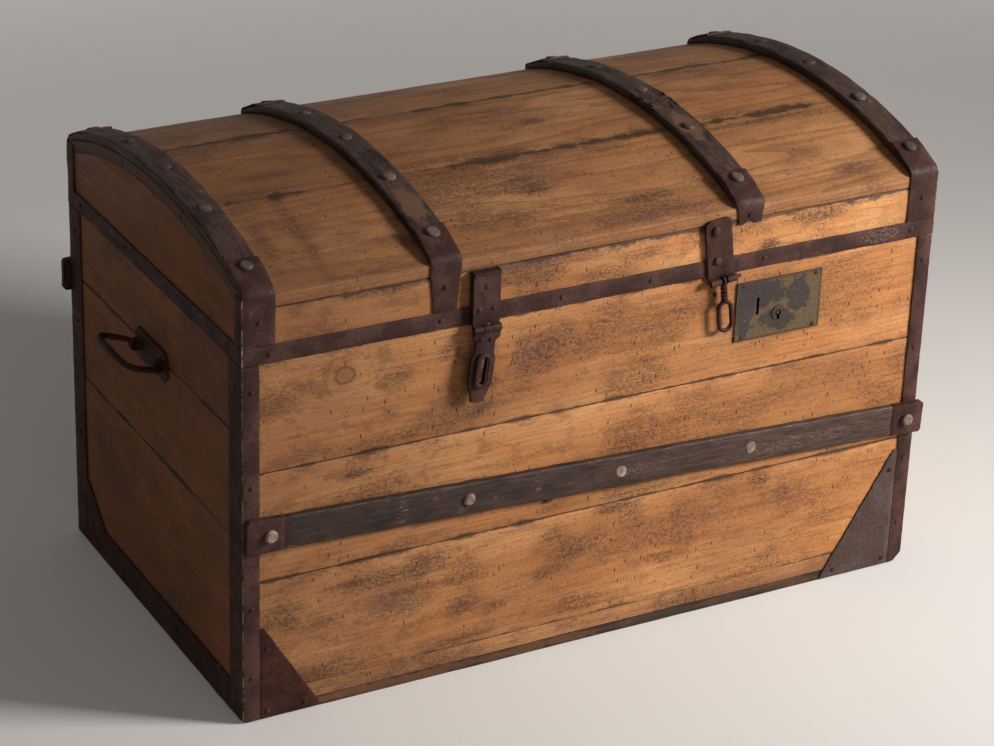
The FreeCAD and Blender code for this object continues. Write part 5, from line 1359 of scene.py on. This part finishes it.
class TRUNK_OT_corner_irons(bpy.types.Operator):
    """Models the irons folded round the four upright corners"""

    bl_idname = "trunk.corner_irons"
    bl_label = "Corner irons"

    front_leg: length_property("Front leg", "Width of the iron on the front", 19, 8, 60)
    end_leg: length_property("End leg", "Width of the iron on the end", 34, 8, 60)

    def execute(self, context):
        sizes, colours = settings(context)
        worn = corner_iron_look(colours)
        for name in ("left", "right"):
            node = f"front_{name}_corner_iron"
            dress(self.iron(f"{node}_worn", *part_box(node), -1, sizes), worn, node)
        rear = from_solids(
            "rear_corner_irons",
            lambda index, low, high: self.iron(f"rear_corner_iron_{index}", low, high, 1, sizes))
        dress(rear, worn, "rear_corner_irons")
        return {"FINISHED"}

    def iron(self, name, low, high, face, sizes):
        """One corner iron: a sheet on the long side, its outer edge drawn round the end."""
        side = math.copysign(1, low.x + high.x)
        corner_x, wall = side * HALF_LENGTH, face * HALF_DEPTH
        inner_x = corner_x - side * self.front_leg
        sheet = add_sheet(name, (corner_x, wall, low.z), (inner_x, wall, high.z))
        start_edit(sheet)
        pick(sheet, "EDGE", lambda edge: abs(middle_of(edge).x - corner_x) < MM)
        bpy.ops.mesh.extrude_region_move(TRANSFORM_OT_translate={"value": (0, -face * self.end_leg, 0)})
        end_edit()
        slice_each(sheet, 9 * MM, 9 * MM, 7 * MM)
        thicken(sheet, IRON, Vector((0, face, 0)))
        start_edit(sheet)
        pick(sheet, "EDGE", self.on_fold)
        bpy.ops.mesh.bevel(offset=2.4 * MM, segments=3)
        end_edit()
        finish_sheet(sheet, sizes)
        wear_off_corners(sheet)
        return sheet

    def on_fold(self, edge):
        """True for an edge on the outer side of an iron's fold."""
        middle = middle_of(edge)
        beyond_end = abs(middle.x) > HALF_LENGTH + 0.5 * IRON
        beyond_front = abs(middle.y) > HALF_DEPTH + 0.5 * IRON
        return runs_along(edge, AXIS_Z) and beyond_end and beyond_front


class TRUNK_OT_foot_irons(bpy.types.Operator):
    """Models the gussets at the lower corners and the irons along the ends' feet"""

    bl_idname = "trunk.foot_irons"
    bl_label = "Foot irons"

    tip: length_property("Tip", "Blunt width of a gusset's tips", 5, 1, 20)
    strip: length_property("Strip", "Height of the iron along an end's foot", 40, 10, 80)
    run: length_property("Run", "Length over which the end iron widens", 60, 10, 200)

    def execute(self, context):
        sizes, colours = settings(context)
        for side, name in ((-1, "left"), (1, "right")):
            node = f"{name}_gusset"
            iron = foot_iron(colours) if side < 0 else pale_iron(colours)
            dress(self.gusset(f"{node}_worn", *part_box(node), side, sizes), iron, node)
        irons = from_solids(
            "end_foot_irons",
            lambda index, low, high: self.end_iron(f"end_foot_iron_{index}", low, high, sizes))
        dress(irons, foot_iron(colours), "end_foot_irons")
        return {"FINISHED"}

    def gusset(self, name, low, high, side, sizes):
        """A sheet cut off along its slope."""
        sheet = add_sheet(name, (low.x, -HALF_DEPTH, low.z), (high.x, -HALF_DEPTH, high.z))
        slice_along(sheet, AXIS_X, 7 * MM)
        slice_along(sheet, AXIS_Z, 7 * MM)
        inner, outer = (low.x, high.x) if side > 0 else (high.x, low.x)
        foot_tip = Vector((inner, -HALF_DEPTH, low.z + self.tip))
        top_tip = Vector((outer - side * self.tip, -HALF_DEPTH, high.z))
        slope = top_tip - foot_tip
        across = (-side * slope.z, 0, abs(slope.x))
        start_edit(sheet)
        bpy.ops.mesh.bisect(plane_co=foot_tip, plane_no=across, clear_outer=True)
        end_edit()
        thicken(sheet, IRON, Vector((0, -1, 0)))
        finish_sheet(sheet, sizes)
        return sheet

    def end_iron(self, name, low, high, sizes):
        """A strip along the foot with a rising rear end."""
        side = math.copysign(1, low.x + high.x)
        wall = side * HALF_LENGTH
        strip_top = low.z + self.strip
        rise_start = high.y - self.run
        sheet = add_sheet(name, (wall, low.y, low.z), (wall, high.y, high.z))
        start_edit(sheet)
        bpy.ops.mesh.bisect(plane_co=(0, 0, strip_top), plane_no=(0, 0, 1))
        bpy.ops.mesh.select_all(action="SELECT")
        bpy.ops.mesh.bisect(plane_co=(0, rise_start, 0), plane_no=(0, 1, 0))
        pick(sheet, "FACE", lambda piece: middle_of(piece).z > strip_top and middle_of(piece).y < rise_start)
        bpy.ops.mesh.delete(type="FACE")
        pick(sheet, "VERT", lambda corner: corner.co.z > high.z - MM and corner.co.y < rise_start + MM)
        bpy.ops.transform.translate(value=(0, self.run - self.tip, 0))
        bpy.ops.mesh.select_all(action="SELECT")
        bpy.ops.mesh.subdivide(number_cuts=5)
        end_edit()
        slice_along(sheet, AXIS_Y, 8 * MM)
        thicken(sheet, IRON, Vector((side, 0, 0)))
        finish_sheet(sheet, sizes)
        wear_off_corners(sheet)
        return sheet


class TRUNK_OT_lid_band(bpy.types.Operator):
    """Models the iron band round the lid's foot"""

    bl_idname = "trunk.lid_band"
    bl_label = "Lid band"

    def execute(self, context):
        sizes, colours = settings(context)
        low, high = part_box("lid_band")
        inner = Vector((IRON, IRON, 0))
        band = add_box("lid_band_worn", low + inner, high - inner)
        start_edit(band)
        pick(band, "FACE", lambda piece: abs(piece.normal.z) > 0.5)
        bpy.ops.mesh.delete(type="ONLY_FACE")
        end_edit()
        slice_each(band, 9 * MM, 9 * MM, 7 * MM)
        thicken(band, IRON, Vector((0, -1, 0)))
        finish_sheet(band, sizes, 1.3 * MM, 26 * MM)
        dress(band, band_iron(colours), "lid_band")
        return {"FINISHED"}


# The length under which a clamp's leg is a short one, with a notched foot
SHORT_LEG = 45 * MM


class TRUNK_OT_clamps(bpy.types.Operator):
    """Models the clamps bent over the ends of the dome slats"""

    bl_idname = "trunk.clamps"
    bl_label = "Clamps"

    reach: length_property("Reach", "How far a clamp reaches in over its slat", 46, 10, 90)
    taper: length_property("Taper", "How far each side of a clamp's leg draws in", 4, 0, 10)
    side_leg: length_property("Side leg", "Width of an end clamp's leg on the end", 18, 5, 40)
    notch: length_property("Notch", "How deep a short clamp's foot is notched", 5, 0, 10)
    fold: length_property("Fold", "How far a clamp's fold is rounded", 5, 0.1, 8)

    def execute(self, context):
        sizes, colours = settings(context)
        for place in ("left_end", "left", "right", "right_end"):
            node = f"front_clamp_{place}"
            iron = corner_iron_look(colours) if place.endswith("end") else strap_iron(colours)
            dress(self.clamp(f"{node}_worn", *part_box(node), -1, sizes), iron, node)
        rear = from_solids(
            "rear_clamps", lambda index, low, high: self.clamp(f"rear_clamp_{index}", low, high, 1, sizes))
        dress(rear, strap_iron(colours), "rear_clamps")
        return {"FINISHED"}

    def clamp(self, name, low, high, face, sizes):
        """One clamp: a leg on the lid's wall, its top edge drawn over the slat, and a side leg at an end."""
        at_end = max(abs(low.x), abs(high.x)) > HALF_LENGTH
        side = math.copysign(1, low.x + high.x)
        x_low = low.x + (IRON if at_end and side < 0 else 0)
        x_high = high.x - (IRON if at_end and side > 0 else 0)
        line = self.line_over_slat(face)
        top = line[0].z
        sheet = add_sheet(name, (x_low, line[0].y, low.z), (x_high, line[0].y, top))
        short = not at_end and top - low.z < SHORT_LEG
        if not short:
            slice_along(sheet, AXIS_Z, 8 * MM)
        start_edit(sheet)
        if short:
            self.notch_foot(sheet, low.z, (x_low + x_high) / 2)
        if not at_end:
            for edge_x, way in ((x_low, 1), (x_high, -1)):
                bpy.ops.mesh.select_all(action="SELECT")
                slope = (way * (top - low.z), 0, self.taper)
                bpy.ops.mesh.bisect(plane_co=(edge_x, 0, top), plane_no=slope, clear_inner=True)
        pick(sheet, "EDGE", lambda edge: middle_of(edge).z > top - 0.1 * MM)
        for start, end in zip(line, line[1:]):
            bpy.ops.mesh.extrude_region_move(TRANSFORM_OT_translate={"value": end - start})
        pick(sheet, "EDGE", lambda edge: abs(middle_of(edge).z - top) < 0.1 * MM)
        bpy.ops.mesh.bevel(offset=self.fold, segments=3)
        if at_end:
            self.draw_side_leg(sheet, x_high if side > 0 else x_low, face)
        end_edit()
        slice_along(sheet, AXIS_X, 8 * MM)
        thicken(sheet, IRON, Vector((0, face, 0)))
        finish_sheet(sheet, sizes, 2.2 * MM, 17 * MM)
        return sheet

    def line_over_slat(self, face):
        """Points from the lid's wall inward along a slat's top."""
        steps = 6
        line = []
        for step in range(steps + 1):
            depth = HALF_DEPTH - self.reach * step / steps
            line.append(Vector((0, face * depth, DOME_CENTRE + math.sqrt(slat_top(depth)**2 - depth**2))))
        return line

    def notch_foot(self, sheet, foot, middle):
        """Draws up the middle of an open clamp's foot."""
        pick(sheet, "EDGE", lambda edge: middle_of(edge).z < foot + 0.1 * MM)
        bpy.ops.mesh.subdivide(number_cuts=3)
        at_foot = foot + 0.1 * MM
        pick(sheet, "VERT", lambda corner: corner.co.z < at_foot and abs(corner.co.x - middle) < 3 * MM)
        bpy.ops.transform.translate(value=(0, 0, self.notch))

    def draw_side_leg(self, sheet, edge_x, face):
        """Draws an open clamp's outer edge round the lid's end, up to the dome's spring."""
        spring = DOME_CROWN - DOME_RISE

        def on_side(edge):
            middle = middle_of(edge)
            return abs(middle.x - edge_x) < 0.1 * MM and runs_along(edge, AXIS_Z) and middle.z < spring

        pick(sheet, "EDGE", on_side)
        bpy.ops.mesh.extrude_region_move(TRANSFORM_OT_translate={"value": (0, -face * self.side_leg, 0)})


# Nails

def nail_pattern(name, head, crown, sides):
    """The head of a hand made nail: a low cone with a rounded top."""
    nail = add_named(
        bpy.ops.mesh.primitive_cone_add, name, vertices=sides, radius1=head / 2, radius2=head * 0.43,
        depth=crown, location=(0, 0, crown / 2))
    settle(nail)
    start_edit(nail)
    pick(nail, "EDGE", lambda edge: min(corner.co.z for corner in edge.verts) > crown * 0.9)
    bpy.ops.mesh.bevel(offset=head * 0.11, segments=2)
    pick(nail, "EDGE", lambda edge: max(corner.co.z for corner in edge.verts) < crown * 0.1)
    bpy.ops.mesh.bevel(offset=head * 0.04, segments=1)
    end_edit()
    return nail


def driven(pattern, seat, outward, chance, sink):
    """A copy of a nail, driven at a seat, a little turned, tilted and changed in size."""
    nail = bpy.data.objects.new(pattern.name, pattern.data.copy())
    bpy.context.scene.collection.objects.link(nail)
    tilt = Vector((chance.uniform(-1, 1), chance.uniform(-1, 1), chance.uniform(-1, 1))) * 0.07
    facing = (outward + tilt).normalized().to_track_quat("Z", "Y").to_matrix().to_4x4()
    spin = Matrix.Rotation(chance.uniform(0, math.tau), 4, "Z")
    wide, deep, tall = chance.uniform(0.88, 1.06), chance.uniform(0.88, 1.06), chance.uniform(0.85, 1.05)
    size = Matrix.Diagonal((wide, deep, tall, 1))
    nail.data.transform(Matrix.Translation(seat - outward * sink) @ facing @ spin @ size)
    return nail


# Lone nails in the front, one under the slat and one under the right hasp's plate
STRAY_NAILS = (Vector((-0.066, -HALF_DEPTH, 0.2035)), Vector((0.147, -HALF_DEPTH, 0.423)))


class TRUNK_OT_nails(bpy.types.Operator):
    """Models the big nails of the slats and the small nails of the irons"""

    bl_idname = "trunk.nails"
    bl_label = "Nails"

    def execute(self, context):
        sizes, colours = settings(context)
        big = nail_pattern("big_nail", sizes.nail_head, sizes.nail_crown, 14)
        dent(big, 0.7 * MM, 5 * MM)
        small = nail_pattern("small_nail", sizes.tack_head, sizes.tack_crown, 9)
        medium = nail_pattern("medium_nail", 1.8 * sizes.tack_head, 2.2 * sizes.tack_crown, 12)
        chance = random.Random(11)
        for node, share in (("slat_nails", 1.45), ("dome_nails", 0.5)):
            nails = []
            for points in solids_of(node):
                nails.append(self.big_nail(big, points, node == "dome_nails", sizes.nail_crown, chance))
            dress(join(nails, f"{node}_worn"), nail_iron(colours, f"{node}_aged", share), node, smooth=45)
        for node in ("base_tacks", "lid_tacks"):
            nails = []
            for points in solids_of(node):
                nails.append(self.small_nail(small, medium, points, chance))
            if node == "base_tacks":
                for pattern, seat in zip((medium, small), STRAY_NAILS):
                    nails.append(driven(pattern, seat, Vector((0, -1, 0)), chance, 0.6 * MM))
            dress(join(nails, f"{node}_worn"), tack_iron(colours), node, smooth=45)
        for pattern in (big, medium, small):
            bpy.data.objects.remove(pattern)
        return {"FINISHED"}

    def big_nail(self, pattern, points, on_dome, crown, chance):
        """A slat's nail where its solid is, some beaten nearly flat."""
        middle = sum(points, Vector()) / len(points)
        outward = Vector((0, math.copysign(1, middle.y), 0))
        if on_dome:
            outward = Vector((0, middle.y, middle.z - DOME_CENTRE)).normalized()
        top = max(point.dot(outward) for point in points)
        seat = middle + outward * (top - crown - middle.dot(outward))
        flat_on_dome = middle.y > -0.06 or (middle.x < -0.4 and middle.y > -0.2)
        flat_on_front = middle.y < 0 and 0 < middle.x < 0.25
        beaten = flat_on_dome if on_dome else flat_on_front
        return driven(pattern, seat, outward, chance, 2.5 * MM if beaten else 0.5 * MM)

    def small_nail(self, small, medium, points, chance):
        """An iron's nail where its solid is, bigger on the right hasp's plate, deeper on the lock plate."""
        low, high = box_of(points)
        size = high - low
        axis = AXIS_X if size.x < size.y else AXIS_Y
        middle = (low + high) / 2
        outward = Vector((0, 0, 0))
        outward[axis] = math.copysign(1, middle[axis])
        seat = middle - outward * size[axis] / 2
        pattern = medium if self.on_plate("right_hasp_plate", middle) else small
        sink = 1.0 * MM if self.on_plate("lock_plate", middle) else 0.4 * MM
        return driven(pattern, seat, outward, chance, sink)

    def on_plate(self, plate, place):
        """True for a nail that holds one of the plates on the front."""
        low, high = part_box(plate)
        return low.x < place.x < high.x and low.z < place.z < high.z and place.y < -HALF_DEPTH - IRON


# Hinges, hasps, lock and handles

def softened(node, material, rounding):
    """A worn copy of a forged CAD node."""
    obj = copy_of_node(f"{node}_worn", node)
    round_edges(obj, rounding, from_angle=35)
    dress(obj, material, node, smooth=24)


class TRUNK_OT_hinges(bpy.types.Operator):
    """Models the two hinges at the back"""

    bl_idname = "trunk.hinges"
    bl_label = "Hinges"

    def execute(self, context):
        material = forged_iron(context.scene.trunk_colours)
        for node in ("hinge_base_leaves", "hinge_lid_leaves"):
            softened(node, material, 0.3 * MM)
        paint_node("hinge_pins", material)
        return {"FINISHED"}


class TRUNK_OT_left_hasp(bpy.types.Operator):
    """Models the slotted hasp with its leaf and pin"""

    bl_idname = "trunk.left_hasp"
    bl_label = "Left hasp"

    bend: angle_property("Bend", "How far the hasp is bent to the left", 7)

    def execute(self, context):
        material = forged_iron(context.scene.trunk_colours)
        low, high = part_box("left_hasp_leaf")
        leaf = copy_of_node("left_hasp_leaf_plate", "left_hasp_leaf")
        top_low = Vector((low.x + 0.4 * MM, low.y + 5 * MM, high.z - 3.2 * MM))
        top_high = Vector((high.x - 0.4 * MM, -HALF_DEPTH, high.z - 0.4 * MM))
        leaf = join([leaf, add_box("leaf_top", top_low, top_high)], "left_hasp_leaf_worn")
        round_edges(leaf, 0.5 * MM, from_angle=35)
        dress(leaf, material, "left_hasp_leaf", smooth=24)
        hasp = copy_of_node("left_hasp_plate", "left_hasp")
        round_edges(hasp, 0.6 * MM, from_angle=35)
        hasp = join([hasp, self.rim(), *self.rivets()], "left_hasp_worn")
        knuckle = PIVOT["left_hasp_swing"]
        start_edit(hasp)
        pick(hasp, "VERT", lambda corner: corner.co.z < knuckle.z - 6 * MM)
        bpy.ops.transform.rotate(value=-self.bend, orient_axis="Y", center_override=knuckle)
        end_edit()
        dress(hasp, material, "left_hasp", smooth=30)
        paint_node("left_hasp_pin", material)
        return {"FINISHED"}

    def rivets(self):
        """Two rivets under the hasp's knuckle."""
        low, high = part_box("left_hasp")
        pattern = nail_pattern("rivet", 6 * MM, 1.8 * MM, 10)
        chance = random.Random(5)
        rivets = []
        for across in (-6 * MM, 6 * MM):
            seat = Vector(((low.x + high.x) / 2 + across, low.y + 3 * MM, high.z - 17 * MM))
            rivets.append(driven(pattern, seat, Vector((0, -1, 0)), chance, 0.3 * MM))
        bpy.data.objects.remove(pattern)
        return rivets

    def rim(self):
        """The round rim forged up round the slot."""
        low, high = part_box("left_hasp")
        place = Vector(((low.x + high.x) / 2, low.y + 1.8 * MM, low.z + 39 * MM))
        return add_oval_ring("hasp_rim", place, 7.2 * MM, 18.8 * MM, 2.6 * MM, 36, 12)


class TRUNK_OT_right_hasp(bpy.types.Operator):
    """Models the leaning plate, its pin and the twisted link"""

    bl_idname = "trunk.right_hasp"
    bl_label = "Right hasp"

    lean: angle_property("Lean", "How far the plate and link lean", -7)

    def execute(self, context):
        material = forged_iron(context.scene.trunk_colours)
        softened("right_hasp_plate", material, 0.5 * MM)
        paint_node("right_hasp_pin", material)
        eye, shank, half_tall = 4.08 * MM, 24 * MM, 18.4 * MM
        loop = add_named(
            bpy.ops.mesh.primitive_torus_add, "link_eye", rotation=(0, math.pi / 2, 0), major_radius=eye,
            minor_radius=2 * MM, major_segments=24, minor_segments=12)
        settle(loop)
        stem = self.twisted_stem(eye, shank)
        ring_middle = Vector((0, 0, -eye - shank - half_tall))
        ring = add_oval_ring("link_ring", ring_middle, 8.4 * MM, half_tall, 2.6 * MM, 40, 14)
        slice_along(ring, AXIS_Z, 3 * MM)
        link = join([loop, stem, ring], "right_link_worn")
        hold(link)
        link.matrix_world = Matrix.Translation(PIVOT["right_link_swing"]) @ Matrix.Rotation(self.lean, 4, "Y")
        settle(link)
        dent(link, 0.5 * MM, 9 * MM)
        dress(link, material, "right_link", smooth=50)
        return {"FINISHED"}

    def twisted_stem(self, eye, shank):
        """A square bar, twisted one and a quarter turns."""
        half = 3.3 * MM
        stem = add_box("twisted_stem", (-half, -half, -shank / 2), (half, half, shank / 2))
        slice_along(stem, AXIS_Z, 0.6 * MM)
        round_edges(stem, 0.5 * MM, segments=2, from_angle=60)
        modify(stem, "SIMPLE_DEFORM", deform_method="TWIST", deform_axis="Z", angle=math.radians(450))
        stem.location = (0, 0, -eye - shank / 2)
        settle(stem)
        return stem


# Dark patches on the lock plate, each with its place along and up the front, its half width and half height

LOCK_PATCHES = (
    (0.206, 0.416, 0.034, 0.020), (0.262, 0.402, 0.016, 0.024), (0.236, 0.376, 0.024, 0.012),
    (0.190, 0.390, 0.012, 0.030))


class TRUNK_OT_lock(bpy.types.Operator):
    """Models the lock plate and paints the works behind it"""

    bl_idname = "trunk.lock"
    bl_label = "Lock"

    def execute(self, context):
        colours = context.scene.trunk_colours
        face = self.face_material(colours)
        softened("lock_plate", face, 0.5 * MM)
        works = iron_material("lock_works_dull", colours.iron, colours.nail, colours.iron_bare, wear=None)
        for node in ("lock_case", "lock_spring", "key_pin", "lock_bolt"):
            paint_node(node, works)
        return {"FINISHED"}

    def face_material(self, colours):
        """Olive brown skin with dark patches where the old finish is left, and a few scratches."""
        material, wire, shader, place = new_material("lock_face_aged")
        iron = wire.group(
            pitted_iron(), Vector=place, Worn=0.0, Skin=colours.lock, Field=colours.lock, Bare=colours.nail)
        colour = iron["Color"]
        for x, z, wide, tall in LOCK_PATCHES:
            spot = spot_at(wire, place, (x, 0, z), (0.8 / wide, 0, 0.8 / tall), 1.9, 70.0)
            colour = wire.mix(wire.fade(spot["Distance"], 0.90, 0.70, 0, 0.85), colour, colours.lock_grey)
        low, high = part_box("key_pin")
        keyhole = Vector(((low.x + high.x) / 2, 0, (low.z + high.z) / 2))
        from_key = wire.vectors("DISTANCE", wire.stretched(place, (1, 0, 1)), keyhole)
        colour = wire.mix(wire.fade(from_key, 12 * MM, 8 * MM, 0, 0.75), colour, colours.lock_grey)
        low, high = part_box("lock_plate")
        apart = wire.split(place)
        from_sides = []
        for axis, name in ((AXIS_X, "X"), (AXIS_Z, "Z")):
            from_sides.append(wire.minus(apart[name], low[axis]))
            from_sides.append(wire.minus(high[axis], apart[name]))
        from_edge = from_sides[0]
        for from_side in from_sides[1:]:
            from_edge = wire.maths("MINIMUM", from_edge, from_side)
        colour = wire.mix(wire.fade(from_edge, 4 * MM, 1 * MM, 0, 0.7), colour, colours.iron)
        scratch_place = wire.stretched(place, (260, 1, 620))
        scratches = wire.fade(wire.noise(scratch_place, 1.0, 2.0), 0.66, 0.72, 0, 0.6)
        colour = wire.mix(scratches, colour, LOCK_SCRATCH)
        finish_shader(wire, shader, colour, iron["Roughness"], iron["Height"], 0.5, 0.3)
        return material


# Half of a bail's line, from its pin to its middle: how far out and across each point lies in millimetres,
# and its share of the rod's radius
BAIL_HALF = [
    (0, 28, 0.8), (0, 42, 0.8), (2, 47.5, 0.9), (16, 47.5, 1), (31, 50, 1), (42, 46, 1), (45, 26, 1.02),
    (45, 9, 1.08)]


class TRUNK_OT_handles(bpy.types.Operator):
    """Models the handle plates and the bails on both ends"""

    bl_idname = "trunk.handles"
    bl_label = "Handles"

    rod: length_property("Rod", "Radius of a bail's rod", 3.7, 1, 8)
    lift: angle_property("Lift", "How far a bail is lifted at rest", 18)

    def execute(self, context):
        material = forged_iron(context.scene.trunk_colours)
        for side, name in ((-1, "left"), (1, "right")):
            softened(f"{name}_handle_plate", material, 0.5 * MM)
            bail = self.bail(f"{name}_bail_worn", side)
            lifted = Matrix.Rotation(side * -self.lift, 4, "Y")
            bail.matrix_world = Matrix.Translation(PIVOT[f"{name}_bail_swing"]) @ lifted
            settle(bail)
            dent(bail, 0.5 * MM, 12 * MM)
            dress(bail, material, f"{name}_bail", smooth=50)
        return {"FINISHED"}

    def bail(self, name, side):
        """A rod drawn along the bail's line, thinner at its pins."""
        line = BAIL_HALF + [(out, -across, size) for out, across, size in reversed(BAIL_HALF)]
        bail = add_named(bpy.ops.curve.primitive_nurbs_path_add, name)
        path = bail.data
        spline = path.splines[0]
        spline.points.add(len(line) - len(spline.points))
        for point, (out, across, size) in zip(spline.points, line):
            point.co = (side * out * MM, across * MM, 0, 1)
            point.radius = size
        spline.order_u = 4
        spline.use_endpoint_u = True
        spline.resolution_u = 5
        path.bevel_depth = self.rod
        path.bevel_resolution = 3
        path.use_fill_caps = True
        hold(bail)
        bpy.ops.object.convert(target="MESH")
        bail = bpy.context.object
        tidy_faces(bail)
        return bail


# Stage

# Each lamp's place in metres, its width, its power in watts and the cone that its light keeps to
LAMPS = {
    "key_light": ((2.20, -1.75, 1.52), 0.8, 36, math.radians(84)),
    "fill_light": ((-0.8, -4.4, 3.0), 3.0, 14, math.pi),
}
TRUNK_MIDDLE = Vector((0, 0, 0.3))

# The camera's place in metres, and its lens and sensor in millimetres
CAMERA_PLACE = (-1.6641, -2.98646, 1.88304)
LENS = 111.9
SENSOR_WIDTH = 36


class TRUNK_OT_stage(bpy.types.Operator):
    """Sets up the floor, the soft light and the camera"""

    bl_idname = "trunk.stage"
    bl_label = "Stage"

    azimuth: angle_property("Azimuth", "Camera's turn round the trunk", -29.17)
    elevation: angle_property("Elevation", "Camera's height over the horizon", 25.66)
    roll: angle_property("Roll", "Camera's tilt to one side", 2.03)

    def execute(self, context):
        colours = context.scene.trunk_colours
        floor = add_named(bpy.ops.mesh.primitive_plane_add, "floor", size=60)
        floor.data.materials.append(self.floor_material(colours))
        for name, lamp in LAMPS.items():
            self.light(name, *lamp)
        self.sky(context.scene, colours)
        self.camera(context.scene)
        context.scene.view_settings.view_transform = "Standard"
        return {"FINISHED"}

    def light(self, name, place, size, power, spread):
        """A square soft lamp that looks at the trunk's middle, its light held to a cone."""
        lamp = add_named(bpy.ops.object.light_add, name, type="AREA", location=place)
        lamp.data.size = size
        lamp.data.energy = power
        lamp.data.spread = spread
        lamp.rotation_euler = (Vector(place) - TRUNK_MIDDLE).to_track_quat("Z", "Y").to_euler()

    def sky(self, scene, colours):
        """An even weak light all round, seen by the camera as the pale backdrop."""
        world = bpy.data.worlds.new("studio")
        scene.world = world
        world.use_nodes = True
        wire = Wiring(world.node_tree)
        world.node_tree.nodes.clear()
        seen = wire.node("ShaderNodeLightPath").outputs["Is Camera Ray"]
        even = wire.node("ShaderNodeBackground", {"Color": (1.0, 0.98, 0.96), "Strength": 0.19})
        backdrop = wire.node("ShaderNodeBackground", {"Color": colours.floor, "Strength": 1.0})
        either = wire.node("ShaderNodeMixShader", {0: seen, 1: even.outputs[0], 2: backdrop.outputs[0]})
        wire.node("ShaderNodeOutputWorld", {"Surface": either.outputs[0]})

    def camera(self, scene):
        """The camera, placed where the corners of the case fit the view."""
        level = math.cos(self.elevation)
        back = Vector((
            math.sin(self.azimuth) * level, -math.cos(self.azimuth) * level, math.sin(self.elevation)))
        level_right = (-back).cross(Vector((0, 0, 1))).normalized()
        level_up = level_right.cross(-back)
        right = math.cos(self.roll) * level_right + math.sin(self.roll) * level_up
        up = -math.sin(self.roll) * level_right + math.cos(self.roll) * level_up
        camera = add_named(bpy.ops.object.camera_add, "camera")
        camera.data.sensor_width = SENSOR_WIDTH
        camera.data.lens = LENS
        turn = Matrix((right, up, back)).transposed().to_4x4()
        camera.matrix_world = Matrix.Translation(CAMERA_PLACE) @ turn
        scene.camera = camera

    def floor_material(self, colours):
        """Pale even floor that seems to rise into a pale backdrop further off."""
        material, wire, shader, place = new_material("pale_floor")
        ray = wire.node("ShaderNodeLightPath").outputs
        seen = wire.maths("MAXIMUM", ray["Is Camera Ray"], ray["Is Glossy Ray"])
        seen = wire.maths("MAXIMUM", seen, ray["Is Transmission Ray"])
        backdrop = wire.fade(wire.vectors("LENGTH", place), 1.1, 4.0, 0.04, 0.85)
        wire.feed(shader.inputs["Emission Color"], colours.floor)
        wire.feed(shader.inputs["Emission Strength"], wire.times(seen, backdrop))
        slow = wire.noise(place, 2.0, 3.0)
        colour = wire.mix(wire.fade(slow, 0.3, 0.7, 0, 0.12), colours.floor, FLOOR_SHADE)
        finish_shader(wire, shader, colour, 0.8, wire.noise(place, 180.0, 3.0), 0.08)
        return material


OPERATORS = (
    TRUNK_OT_case_planks, TRUNK_OT_foot, TRUNK_OT_lid_walls, TRUNK_OT_dome_planks, TRUNK_OT_dome_slats,
    TRUNK_OT_case_slats, TRUNK_OT_slat_caps, TRUNK_OT_corner_irons, TRUNK_OT_foot_irons, TRUNK_OT_lid_band,
    TRUNK_OT_clamps, TRUNK_OT_nails, TRUNK_OT_hinges, TRUNK_OT_left_hasp, TRUNK_OT_right_hasp, TRUNK_OT_lock,
    TRUNK_OT_handles, TRUNK_OT_stage,
)


class TRUNK_PT_sidebar(bpy.types.Panel):
    """Lists the trunk's sizes, colours and operators"""

    bl_idname = "TRUNK_PT_sidebar"
    bl_label = "Dome top trunk"
    bl_space_type = "VIEW_3D"
    bl_region_type = "UI"
    bl_category = "Trunk"

    def draw(self, context):
        layout = self.layout
        for group in settings(context):
            column = layout.column()
            for name in group.__annotations__:
                column.prop(group, name)
        for operator in OPERATORS:
            layout.operator(operator.bl_idname)


CLASSES = (TrunkSizes, TrunkColours, *OPERATORS, TRUNK_PT_sidebar)


def register():
    for one in CLASSES:
        bpy.utils.register_class(one)
    bpy.types.Scene.trunk_sizes = PointerProperty(type=TrunkSizes)
    bpy.types.Scene.trunk_colours = PointerProperty(type=TrunkColours)


def unregister():
    del bpy.types.Scene.trunk_colours
    del bpy.types.Scene.trunk_sizes
    for one in reversed(CLASSES):
        bpy.utils.unregister_class(one)


def main():
    register()
    bpy.ops.trunk.case_planks()
    bpy.ops.trunk.foot()
    bpy.ops.trunk.lid_walls()
    bpy.ops.trunk.dome_planks()
    bpy.ops.trunk.dome_slats()
    bpy.ops.trunk.case_slats()
    bpy.ops.trunk.slat_caps()
    bpy.ops.trunk.corner_irons()
    bpy.ops.trunk.foot_irons()
    bpy.ops.trunk.lid_band()
    bpy.ops.trunk.clamps()
    bpy.ops.trunk.nails()
    bpy.ops.trunk.hinges()
    bpy.ops.trunk.left_hasp()
    bpy.ops.trunk.right_hasp()
    bpy.ops.trunk.lock()
    bpy.ops.trunk.handles()
    bpy.ops.trunk.stage()


if __name__ == "__main__":
    main()
